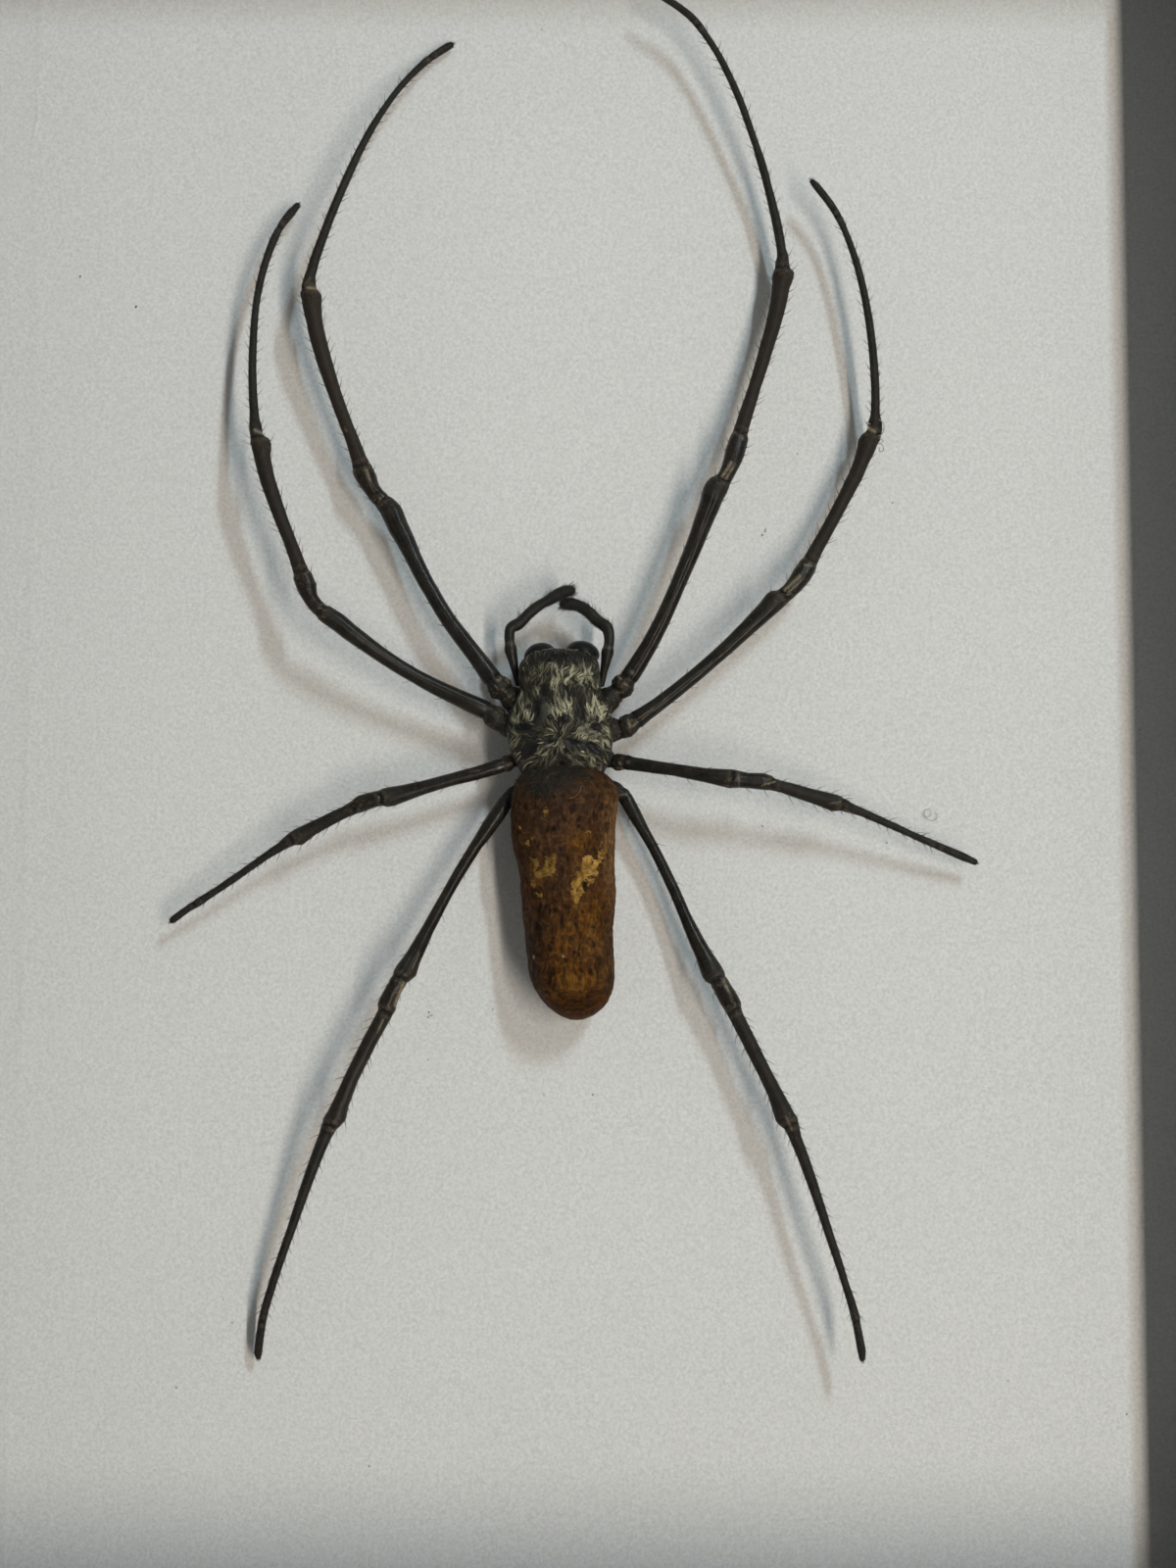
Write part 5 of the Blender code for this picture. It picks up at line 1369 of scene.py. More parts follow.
def prosoma_mesh():
    ny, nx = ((256, 214))
    ys = Y0 + (Y1 - Y0) * (0.5 - 0.5 * np.cos(np.pi * np.linspace(0.02, 0.985, ny)))
    ys = 0.5 * ys + 0.5 * np.linspace(ys[0], ys[-1], ny)
    l, r, dome = hull(ys)
    th = np.linspace(0, np.pi, nx)
    x = (l + r)[:, None] / 2 + (r - l)[:, None] / 2 * np.cos(th)[None]
    y = np.repeat(ys[:, None], nx, 1)
    z = carapace(x.ravel(), y.ravel()).reshape(x.shape)
    p = np.stack([x.ravel() * 1.4, y.ravel() * 1.4, z.ravel()], -1)
    inside = smooth(0, 0.25, np.sin(th))[None]
    z = z + inside * (0.07 * fbm(p, 4, 700) + 0.05 * fbm(p * 1.9, 2, 720)).reshape(x.shape)
    # crimped front margin
    px, py = flat_pix(x.ravel(), y.ravel())
    fr = smooth(680, 666, py).reshape(x.shape)
    z = z + 0.10 * fr * inside * vnoise(np.stack([px * 0.28, py * 0.20, px * 0], -1),
                                        33).reshape(x.shape)
    matted = fibres(px, py)
    z = z + inside * (0.045 * np.clip(matted, -2, 2) - 0.045).reshape(x.shape) \
        * (1 - 0.8 * np.clip(ovals(px, py, BARE, 3.0), 0, 1)).reshape(x.shape)
    top = np.stack([x, y, z], -1)
    # turned-under margin, then a narrow breast plate below
    low = np.minimum(0.58 * (r - l) / 2, 3.4)[:, None]
    cx = (l + r)[:, None] / 2
    hw = (r - l)[:, None] / 2
    under = [(-hw, RIM - 0.18), (-hw * 0.94, RIM - 0.45), (-hw * 0.8, RIM - 0.62),
             (-low, RIM - 0.8), (-low * 1.02, 4.4), (-low, 3.3), (-low * 0.85, 2.6),
             (-low * 0.6, 2.25), (low * 0, 2.15), (low * 0.6, 2.25), (low * 0.85, 2.6),
             (low, 3.3), (low * 1.02, 4.4), (low, RIM - 0.8), (hw * 0.8, RIM - 0.62),
             (hw * 0.94, RIM - 0.45), (hw, RIM - 0.18)]
    und = np.stack([np.concatenate([cx + o for o, _ in under], 1),
                    np.repeat(ys[:, None], len(under), 1),
                    np.repeat(np.array([h for _, h in under])[None], ny, 0)], -1)
    ring = np.concatenate([top, und], 1)
    c = ring.shape[1]
    v = ring.reshape(-1, 3)
    q = grid_quads(ny, c, wrap=True)
    a0, a1 = ring[0].mean(0), ring[-1].mean(0)
    a0[1] += 0.05
    a1[1] -= 0.05
    v = np.vstack([v, a0, a1])
    j = np.arange(c)
    t = np.concatenate([np.stack([np.full(c, ny * c), j, (j + 1) % c], -1),
                        np.stack([np.full(c, ny * c + 1), (ny - 1) * c + (j + 1) % c,
                                  (ny - 1) * c + j], -1)])
    down = np.zeros((ny, c))
    down[:, :nx] = matted.reshape(ny, nx)
    return v, q, t, np.r_[down.ravel(), 0.0, 0.0]


m = Mat("carapace_shell", 0.5)
fine = m.noise(4.0, 4.0, 0.6)
col = m.ramp(fine, [(0.3, (0.0075, 0.0072, 0.0060)), (0.7, (0.022, 0.021, 0.0165))])
down = m.attr("down")
col = m.mix(m.grey(down, 0.03, 1.0), col, m.ramp(down, [(0.10, (0.016, 0.0148, 0.0100)),
                                                        (0.45, (0.090, 0.0835, 0.0540)),
                                                        (0.95, (0.330, 0.305, 0.190))]))
# bare skin from dark to pale grey by the same paleness, which carries painted shade on the left dome
bare = m.mix(m.attr("pale"), (0.034, 0.0335, 0.0240), (0.280, 0.268, 0.190))
bare = m.mix(m.grey(fine, 0.35, 0.75, 0.0, 0.45), bare, (0.030, 0.029, 0.022))
col = m.mix(m.attr("bare"), col, bare)
# near black for the tubercle tip and for painted shade in the pits and grooves
col = m.mix(m.attr("black"), col, (0.0045, 0.0045, 0.0040))
m.colour(col)
m.rough(m.grey(fine, 0.3, 0.8, 0.40, 0.62))
m.b.inputs["Specular IOR Level"].default_value = 0.35
m.bump(fine, 0.4, 0.00010)
shell_mat = m.m

m = Mat("silver_hair", 0.5)
hn = m.noise(6.0, 2.0)
hcol = m.ramp(m.attr("tone"), [(0.0, (0.0085, 0.0080, 0.0056)), (0.30, (0.085, 0.0785, 0.0510)),
                               (0.7, (0.470, 0.438, 0.285)), (1.0, (0.860, 0.810, 0.560))])
m.colour(m.mix(m.grey(hn, 0.4, 0.7, 0.0, 0.30), hcol, (0.150, 0.118, 0.068)))
m.b.inputs["Specular IOR Level"].default_value = 0.2
hair_mat = m.m

v, q, t, matted = prosoma_mesh()
vx_, vy_ = pix(v)
upper = (v[:, 2] > RIM - 0.05).astype(float)
n0 = vnoise(np.stack([vx_ * 0.35, vy_ * 0.35, vx_ * 0], -1), 41)
bare_v = np.clip(ovals(vx_, vy_, BARE, 3.0), 0, 1) * upper * (0.85 + 0.35 * n0)
black_and_shade_v = np.clip(ovals(vx_, vy_, BLACK_AND_SHADE, 2.5) * 1.3, 0, 1) * upper
body_pile = Pile()
down_v = np.clip(lustre(vx_, vy_) * 0.62, 0, 1) * upper
body_pile.add(v, q, t, pale=pale(vx_, vy_) * upper, bare=np.clip(bare_v, 0, 1),
              black=black_and_shade_v, down=down_v)
ob = body_pile.object("spider_prosoma", shell_mat)
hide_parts("prosoma")
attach(ob, "root")


def coat():
    """Flat-lying tufts that keep clear of one another: middle lines, tone."""
    cell = 0.12
    taken = {}

    def free(x, y, sep, own):
        i, j = int(math.floor(x / cell)), int(math.floor(y / cell))
        k = int(sep / cell) + 1
        for a in range(i - k, i + k + 1):
            for b in range(j - k, j + k + 1):
                for (qx, qy, o) in taken.get((a, b), ()):
                    if o != own and (qx - x) ** 2 + (qy - y) ** 2 < sep * sep:
                        return False
        return True

    tries = 12000
    ys_ = rng.uniform(Y1 + 0.15, Y0 - 0.25, tries)
    l, r, _ = hull(ys_)
    xs_ = l + (r - l) * rng.uniform(0.015, 0.985, tries)
    ds = 0.07
    lines = []
    # the whole field at once on a fine table, then looked up
    gx = np.arange(ol.min() - 0.3, orr.max() + 0.3, 0.05)
    gy = np.arange(Y1 - 0.4, Y0 + 0.4, 0.05)
    GX, GY = np.meshgrid(gx, gy)
    PX, PY = flat_pix(GX.ravel(), GY.ravel())
    ang = lie(PX, PY, 2.0).reshape(GX.shape)
    bar = (np.clip(ovals(PX, PY, BARE, 3.0), 0, 1)
           + np.clip(ovals(PX, PY, BLACK_AND_SHADE, 2.5), 0, 1)).reshape(GX.shape)
    ton = pale(PX, PY).reshape(GX.shape)

    def at(tab, x, y):
        i = min(max(int((y - gy[0]) / 0.05), 0), tab.shape[0] - 1)
        j = min(max(int((x - gx[0]) / 0.05), 0), tab.shape[1] - 1)
        return tab[i, j]

    for n in range(tries):
        x, y = xs_[n], ys_[n]
        if at(bar, x, y) > 0.42:
            continue
        tn = at(ton, x, y)
        sep = 0.165 + 0.11 * (1 - tn) + rng.uniform(-0.03, 0.06)
        if not free(x, y, sep, n):
            continue
        want = rng.uniform(0.6, 2.2)
        halves = []
        for sgn in (1, -1):
            cx, cy, a0 = x, y, at(ang, x, y) + (math.pi if sgn < 0 else 0)
            pts = []
            while len(pts) * ds < want / 2:
                a1 = at(ang, cx, cy)
                while a1 - a0 > math.pi / 2:
                    a1 -= math.pi
                while a1 - a0 < -math.pi / 2:
                    a1 += math.pi
                a0 = a1
                cx += math.cos(a0) * ds
                cy += math.sin(a0) * ds
                if not (Y1 + 0.08 < cy < Y0 - 0.12):
                    break
                l_, r_, _d = hull(np.array([cy]))
                if not (l_[0] + 0.06 < cx < r_[0] - 0.06):
                    break
                if at(bar, cx, cy) > 0.5 or not free(cx, cy, sep * 0.86, n):
                    break
                pts.append((cx, cy))
            halves.append(pts)
        line = halves[1][::-1] + [(x, y)] + halves[0]
        if len(line) < 4:
            continue
        for (qx, qy) in line:
            key = (int(math.floor(qx / cell)), int(math.floor(qy / cell)))
            taken.setdefault(key, []).append((qx, qy, n))
        lines.append((np.array(line), tn))
    return lines


fur = Pile()
K = 5
allp, allr, allt = [], [], []
# dull under-coat
nu = 1500
uy = rng.uniform(Y1 + 0.2, Y0 - 0.2, nu)
l_, r_, _d = hull(uy)
ux = l_ + (r_ - l_) * rng.uniform(0.03, 0.97, nu)
upx, upy = flat_pix(ux, uy)
utone = pale(upx, upy)
ubare = np.clip(ovals(upx, upy, BARE, 3.0), 0, 1) + np.clip(ovals(upx, upy, BLACK_AND_SHADE, 2.5), 0, 1)
keep = (ubare < 0.35) & (rng.uniform(0, 1, nu) < 0.25 + 1.0 * utone)
ux, uy, upx, upy, utone = ux[keep], uy[keep], upx[keep], upy[keep], utone[keep]
ua = lie(upx, upy, 2.0) + rng.normal(0, 0.28, len(ux)) + math.pi * (rng.uniform(0, 1, len(ux)) < 0.5)
ul = rng.uniform(0.35, 0.85, len(ux))
ut = np.linspace(-0.5, 0.5, K)
ub = rng.normal(0, 0.20, len(ux))
cxs = ux[:, None] + ul[:, None] * (ut * np.cos(ua)[:, None] - ub[:, None] * ut ** 2 * np.sin(ua)[:, None])
cys = uy[:, None] + ul[:, None] * (ut * np.sin(ua)[:, None] + ub[:, None] * ut ** 2 * np.cos(ua)[:, None])
uz = rng.uniform(0.008, 0.030, len(ux))[:, None] * np.ones((1, K))
under_p = np.stack([cxs, cys, uz], -1)
under_r = rng.uniform(0.016, 0.030, len(ux))[:, None] * (1 - 0.6 * np.abs(2 * ut)[None] ** 2)
under_t = np.clip(lustre(*flat_pix(ux, uy)) * rng.uniform(0.5, 1.1, len(ux)), 0.0, 1.0)
l_, r_, _d = hull(cys.ravel())
inside_ = ((cxs.ravel() > l_ + 0.05) & (cxs.ravel() < r_ - 0.05)).reshape(cxs.shape).all(1)
under_p, under_r, under_t = under_p[inside_], under_r[inside_], under_t[inside_]
tufts = coat()
heart = np.array([ln_[len(ln_) // 2] for ln_, _t in tufts])
heart_tone = lustre(*flat_pix(heart[:, 0], heart[:, 1]))
for (line, tn), ht in zip(tufts, heart_tone):
    if rng.uniform() < 0.5:
        line = line[::-1]
    d = np.r_[0, np.cumsum(np.hypot(*np.diff(line, axis=0).T))]
    c_ = line[len(line) // 2]
    clump = vnoise(np.array([[c_[0] * 1.3, c_[1] * 1.3, 0.0], [c_[0] * 2.9, c_[1] * 2.9, 3.0]]), 51)
    tone0 = 0.85 * ht + 0.15 * tn * (1 + 0.5 * clump[0] + 0.4 * clump[1])
    tone0 = float(np.clip(tone0 * rng.uniform(0.80, 1.2), 0.0, 1))
    m_ = int(round((3.2 + 4.6 * tone0) * (1)))
    half = rng.uniform(0.035, 0.085)
    for h in range(m_):
        a, b = rng.uniform(0, 0.22), rng.uniform(0.74, 1.0)
        u = np.linspace(a, b, K) * d[-1]
        x = np.interp(u, d, line[:, 0])
        y = np.interp(u, d, line[:, 1])
        tx, ty = np.gradient(x), np.gradient(y)
        ln = np.hypot(tx, ty) + 1e-9
        off = (rng.uniform(-1, 1) * half) * np.linspace(1.0, 0.45, K) \
            + rng.normal(0, 0.012, K)
        x, y = x - ty / ln * off, y + tx / ln * off
        lift = rng.uniform(0.02, 0.10) * np.sin(np.pi * np.linspace(0.12, 0.80, K)) + 0.012
        allp.append(np.stack([x, y, lift], -1))
        allr.append(rng.uniform(0.022, 0.038) * (1 - 0.55 * np.linspace(0, 1, K) ** 2))
        allt.append(np.clip(tone0 * rng.uniform(0.80, 1.12), 0, 1))
# single wavy hairs that cross the tufts
nw = 4200
wy = rng.uniform(Y1 + 0.2, Y0 - 0.2, nw * 3)
l_, r_, _d = hull(wy)
wx = l_ + (r_ - l_) * rng.uniform(0.03, 0.97, nw * 3)
wpx, wpy = flat_pix(wx, wy)
wt = pale(wpx, wpy)
keep = np.where(rng.uniform(0, 1, nw * 3) < 0.12 + 1.1 * wt ** 1.5)[0][:nw]
wx, wy, wt = wx[keep], wy[keep], wt[keep]
wa = lie(*flat_pix(wx, wy), 2.0) + rng.normal(0, 0.22, len(wx)) \
    + math.pi * (rng.uniform(0, 1, len(wx)) < 0.5)
wl = rng.uniform(0.13, 0.33, len(wx))
wave = [np.stack([wx, wy], -1)]
for k in range(K - 1):
    wx = wx + wl * np.cos(wa)
    wy = wy + wl * np.sin(wa)
    wave.append(np.stack([wx, wy], -1))
    b = lie(*flat_pix(wx, wy), 2.0) + rng.normal(0, 0.30, len(wx))
    wa = wa + (b - wa + math.pi / 2) % math.pi - math.pi / 2
wave = np.stack(wave, 1)
l_, r_, _d = hull(wave[..., 1].ravel())
cpx, cpy = flat_pix(wave[..., 0].ravel(), wave[..., 1].ravel())
clear = ((wave[..., 0].ravel() > l_ + 0.06) & (wave[..., 0].ravel() < r_ - 0.06)
         & (wave[..., 1].ravel() > Y1 + 0.06) & (wave[..., 1].ravel() < Y0 - 0.12)
         & (np.clip(ovals(cpx, cpy, BARE, 3.0), 0, 1)
            + np.clip(ovals(cpx, cpy, BLACK_AND_SHADE, 2.5), 0, 1) < 0.5)).reshape(len(wave), K).all(1)
wave, wt = wave[clear], wt[clear]
lift = rng.uniform(0.03, 0.12, len(wave))[:, None] * np.sin(np.pi * np.linspace(0.1, 0.85, K))[None]
wave_p = np.concatenate([wave, lift[..., None] + 0.01], -1)
wave_r = rng.uniform(0.015, 0.027, len(wave))[:, None] * (1 - 0.5 * np.linspace(0, 1, K)[None] ** 2)
mid_w = flat_pix(wave[:, K // 2, 0], wave[:, K // 2, 1])
wave_t = np.clip(lustre(*mid_w) * rng.uniform(0.75, 1.35, len(wave)), 0.0, 1)
allp = np.concatenate([np.array(allp), under_p, wave_p])
allr = np.concatenate([np.array(allr), under_r, wave_r])
allt = np.concatenate([np.array(allt), under_t, wave_t])
zz = carapace(allp[..., 0].ravel(), allp[..., 1].ravel()).reshape(allp.shape[:2])
allp[..., 2] += zz
vv, qq, tt = strands(allp, allr, 3, flat=0.75)
fur.add(vv, qq, tt, tone=np.repeat(allt, K * 3))
ob = fur.object("spider_silver_hair", hair_mat)
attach(ob, "root")
print("silver hairs", len(allp))

# eyes, tubercle tips and the pale front margin with its painted highlight
m = Mat("eye_bead", 0.42)
m.colour(m.ramp(m.noise(2.0, 2.0), [(0.3, (0.006, 0.006, 0.006)), (0.8, (0.020, 0.018, 0.015))]))
m.b.inputs["Specular IOR Level"].default_value = 0.30
pile = Pile()
for x, y, r in ((566, 666, 2.6), (577, 666.5, 2.7), (563, 673, 2.6), (579, 673, 2.7),
                (543, 667, 2.1), (545.5, 672, 2.1), (601, 668, 2.1), (598, 672.5, 2.1)):
    c0 = spot(x, y, 8.6)
    yy = np.clip(c0[1], Y1 + 0.1, Y0 - 0.1)
    z = float(carapace(np.array([c0[0]]), np.array([yy]))[0])
    vv, qq, tt = blob((c0[0], c0[1], z + 0.06), (r / PXB, r / PXB, r / PXB), 16, 9)
    pile.add(vv, qq, tt)
for x, y, r in ((561.4, 731.6, 2.9), (576.8, 732.8, 3.9)):
    c0 = spot(x, y, 9.9)
    z = float(carapace(np.array([c0[0]]), np.array([c0[1]]))[0])
    vv, qq, tt = blob((c0[0], c0[1], z + 0.02), (r / PXB, r / PXB, 0.34), 16, 9)
    pile.add(vv, qq, tt)
# pale crimped front rim in pieces, its pale hairs also standing for a painted highlight along the edge
RIM_AND_HIGHLIGHT = [(541, 667), (543, 665), (547, 664.6), (550, 664), (556, 662.6), (562, 661.2),
           (568, 660.8), (574, 661.6), (580, 663), (585, 663.4), (588, 663), (591, 661.4),
           (596, 663.5), (600, 666), (603, 669)]
rim_pts = []
for x, y in RIM_AND_HIGHLIGHT:
    c0 = spot(x, y, 7.4)
    yy = min(c0[1], Y0 - 0.03)
    z = float(carapace(np.array([c0[0]]), np.array([yy]))[0])
    rim_pts.append((c0[0], yy + 0.02, z + 0.05))
rim_pts = spline(np.array(rim_pts), np.linspace(0, 1, 120))
rim_pts += 0.045 * np.stack([vnoise(rim_pts * 3.1, 61), vnoise(rim_pts * 3.1, 62),
                             vnoise(rim_pts * 3.1, 63)], -1)
rim_v = Pile()
for a_, b_ in ((0, 22), (25, 49), (52, 78), (80, 101), (104, 119)):
    seg_ = rim_pts[a_:b_]
    rr_ = 0.060 + 0.030 * vnoise(seg_ * 4.0, 64)
    rr_ = rr_ * np.sin(np.pi * np.linspace(0.06, 0.94, len(seg_))) ** 0.4
    rim_v.add(*strands(seg_[None], rr_[None], 5), tone=0.42)
ob = rim_v.object("spider_front_rim_and_highlight", hair_mat)
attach(ob, "root")
eyes = pile.object("spider_eyes", m.m)
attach(eyes, "root")

# ---------------------------------------------------------------- chelicerae
m = Mat("jaw_shell", 0.33)
fine = m.noise(5.0, 4.0, 0.6)
m.colour(m.ramp(fine, [(0.3, (0.0062, 0.0062, 0.0050)), (0.75, (0.0145, 0.0145, 0.0120))]))
m.rough(m.grey(fine, 0.3, 0.8, 0.34, 0.50))
m.b.inputs["Specular IOR Level"].default_value = 0.12
m.bump(fine, 0.2, 0.00005)
jaw_mat = m.m
for name, cx, half, top in (("chelicera_left", 551.0, 16.8, 655.0),
                            ("chelicera_right", 594.5, 17.6, 653.0)):
    c0 = spot(cx, 668, 5.2)
    hw = half / 8.75
    y_top = spot(cx, top, 5.2)[1]
    ry = 1.55
    vv, qq, tt = blob((0, 0, 0), (hw, ry, 2.75), 40, 26, 0.0, 2.3)
    # fuller outside, flatter inside
    side = -1.0 if name.endswith("left") else 1.0
    vv[:, 1] += 0.10 * side * vv[:, 0] * (vv[:, 1] > 0) * -1.0
    vv = vv + np.array([c0[0], y_top - ry, 4.05])
    vv += 0.02 * fbm(vv * 2.0, 3, 800)[:, None] * np.array([1, 1, 1])
    # keep clear of the prosoma behind
    vv[:, 1] = np.maximum(vv[:, 1], 6.75 + 0.02 * (vv[:, 1] - 6.75))
    ob = make("spider_" + name, vv, qq, tt, jaw_mat)
    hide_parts(name)
    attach(ob, "root")

# -------------------------------------------------------------------- abdomen
# image row, left edge, right edge
SIDES = [(779, 556, 590), (781, 548, 600), (784, 541, 608), (788, 535.5, 614.5),
         (793, 530.5, 621), (798, 527.5, 625.5), (805, 525, 629.3), (812, 523.2, 630.8),
         (822, 522, 629.8), (832, 521.8, 628.6), (845, 522, 628), (860, 523, 627.4),
         (870, 525, 627), (882, 528.5, 626.6), (900, 531, 627.2), (912, 531.6, 627.6),
         (930, 533, 626), (950, 535, 625.2), (970, 537, 626.2), (985, 539.3, 626.8),
         (1000, 543.2, 626.6), (1010, 547.2, 624.8), (1018, 551.8, 622), (1026, 558, 617),
         (1032, 565, 610.8), (1037, 573, 603.5), (1040.5, 582, 594)]


def abdomen_mesh():
    rows = np.array(SIDES, float)
    z_side = 5.4
    yy = np.array([spot(0, r, z_side)[1] for r in rows[:, 0]])
    xl = spot(rows[:, 1], rows[:, 0], z_side)[:, 0]
    xr = spot(rows[:, 2], rows[:, 0], z_side)[:, 0]
    n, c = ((350, 216))
    s = np.linspace(0, 1, n)
    # rows closer together at the ends
    f = 0.5 - 0.5 * np.cos(np.pi * s)
    f = 0.5 * s + 0.5 * f
    ys = yy[0] + (yy[-1] - yy[0]) * f
    L = curve(list(zip(-yy, xl)), -ys)
    Rr = curve(list(zip(-yy, xr)), -ys)
    t = f
    front = np.clip((yy[0] + 0.15 - ys) / 6.5, 0, 1)
    rear = np.clip((ys - yy[-1] + 0.12) / 5.5, 0, 1)
    close = ((1 - (1 - front) ** 2.4) ** 0.42) * ((1 - (1 - rear) ** 2.1) ** 0.48)
    hz = (5.3 - 0.55 * t) * close
    zc = 5.55 - 0.5 * t
    cx, hw = (L + Rr) / 2, (Rr - L) / 2
    # most columns over the back
    up_n = int(c * 0.76)
    a = np.concatenate([np.linspace(-0.35, np.pi + 0.35, up_n, endpoint=False),
                        np.linspace(np.pi + 0.35, 2 * np.pi - 0.35, c - up_n, endpoint=False)])
    ca, sa = np.cos(a), np.sin(a)
    p = 2.25
    k = (np.abs(ca) ** p + np.abs(sa) ** p) ** (-1 / p)
    x = cx[:, None] + hw[:, None] * (ca * k)[None]
    z = zc[:, None] + hz[:, None] * (sa * k)[None]
    y = np.repeat(ys[:, None], c, 1)
    # relief along the outward direction
    nx_, nz_ = (ca * k)[None] * np.ones((n, 1)), (sa * k)[None] * np.ones((n, 1))
    P = np.stack([x, y, z], -1).reshape(-1, 3)
    arc = np.repeat((a * 5.6)[None], n, 0).ravel()
    wr = np.stack([np.cos(a)[None].repeat(n, 0).ravel() * 5.6,
                   P[:, 1] * 0.30, np.sin(a)[None].repeat(n, 0).ravel() * 5.6], -1)
    h = 0.060 * fbm(wr * 0.5, 3, 900, 0.6)
    h += 0.14 * fbm(P * np.array([0.32, 0.22, 0.32]), 2, 910)
    # worm-like wrinkles: along the body in the middle, across near its end
    qx, qy = pix(P)
    warp = np.stack([vnoise(P * 0.75, 921), vnoise(P * 0.75, 922), vnoise(P * 0.75, 923)], -1)
    W = np.stack([P[:, 0], P[:, 1], P[:, 2]], -1) + 0.42 * warp
    lon = 1 - 1.9 * np.tanh(2.3 * np.abs(vnoise(W * np.array([2.30, 0.80, 2.30]), 931)))
    crs = 1 - 1.9 * np.tanh(2.3 * np.abs(vnoise(W * np.array([0.95, 2.20, 0.95]), 932)))
    iso = 1 - 1.9 * np.tanh(2.3 * np.abs(vnoise(W * np.array([1.90, 1.50, 1.90]), 933)))
    wl = 0.55 + ovals(qx, qy, [(581, 982, 20, 24, 0, 1.6), (575, 900, 14, 26, 0, 0.9),
                               (620, 840, 10, 40, 0, 0.9)])
    wc = 0.20 + 1.6 * smooth(1000, 1014, qy) + ovals(qx, qy, [(575, 850, 40, 8, 0, 0.6)])
    wi = 0.75
    crest = (wl * lon + wc * crs + wi * iso) / (wl + wc + wi)
    crest = 1.25 * crest + 0.25 + 0.45 * vnoise(W * np.array([3.9, 2.6, 3.9]), 935)
    blotch = fbm(P * np.array([0.55, 0.42, 0.55]), 3, 941)
    crest = crest + 0.55 * blotch
    h += 0.075 * np.clip(crest, -1.6, 1.3)
    # shallow cross folds
    for py, dep, wid in ((848, 0.10, 0.5), (938, 0.05, 0.9), (1012, 0.05, 0.7)):
        yc = spot(575, py, 10.0)[1]
        wob = 0.35 * vnoise(np.stack([P[:, 0] * 0.6, P[:, 0] * 0, P[:, 0] * 0], -1), int(py))
        h -= dep * np.exp(-((P[:, 1] - yc - wob) / wid) ** 2) * (P[:, 2] > 6)
    # shallow muscle dimples in two rows
    for px_, py_ in ((597, 903), (552, 870), (566, 868), (563, 905), (590, 950),
                     (562, 948), (559, 995), (592, 990)):
        c0 = spot(px_, py_, 10.3)
        d2 = (P[:, 0] - c0[0]) ** 2 + (P[:, 1] - c0[1]) ** 2
        h -= 0.16 * np.exp(-d2 / 0.10) * (P[:, 2] > 6)
    fade = np.clip(np.minimum(front, rear) * 3, 0, 1)
    h = h * np.repeat(fade, c)
    ln = np.sqrt(nx_ ** 2 + nz_ ** 2).ravel()
    P[:, 0] += h * nx_.ravel() / ln
    P[:, 2] += h * nz_.ravel() / ln
    P[:, 2] = np.maximum(P[:, 2], 0.12)
    crest = np.r_[crest, crest[0], crest[-1]]
    v = np.vstack([P, [cx[0], ys[0] + 0.04, zc[0]], [cx[-1], ys[-1] - 0.05, zc[-1]]])
    q = grid_quads(n, c, wrap=True)[:, ::-1]
    j = np.arange(c)
    tr = np.concatenate([np.stack([np.full(c, n * c), (j + 1) % c, j], -1),
                         np.stack([np.full(c, n * c + 1), (n - 1) * c + j,
                                   (n - 1) * c + (j + 1) % c], -1)])
    return v, q, tr, crest


v, q, t, crest = abdomen_mesh()
px, py = pix(v)
up = smooth(4.5, 6.5, v[:, 2])


def zone(cx, cy, a, b, deg=0.0, soft=1.0):
    """1 in the middle of a soft oval on the back, 0 outside."""
    c, s = math.cos(math.radians(deg)), math.sin(math.radians(deg))
    dx, dy = px - cx, py - cy
    u, w = (dx * c + dy * s) / a, (-dx * s + dy * c) / b
    return np.exp(-(u * u + w * w) ** soft) * up


def inside(poly, grow=0.0):
    """Signed distance to a polygon in pixels, positive inside."""
    poly = np.asarray(poly, float)
    px, py = patch_x, patch_y
    best = np.full(len(px), 1e9)
    sign = np.zeros(len(px), bool)
    for a, b in zip(poly, np.roll(poly, -1, 0)):
        ab = b - a
        f = np.clip(((px - a[0]) * ab[0] + (py - a[1]) * ab[1]) / (ab @ ab), 0, 1)
        best = np.minimum(best, np.hypot(px - a[0] - f * ab[0], py - a[1] - f * ab[1]))
        cond = (a[1] > py) != (b[1] > py)
        xi = a[0] + (py - a[1]) / (b[1] - a[1] + 1e-9) * ab[0]
        sign ^= cond & (px < xi)
    return np.where(sign, best, -best) + grow


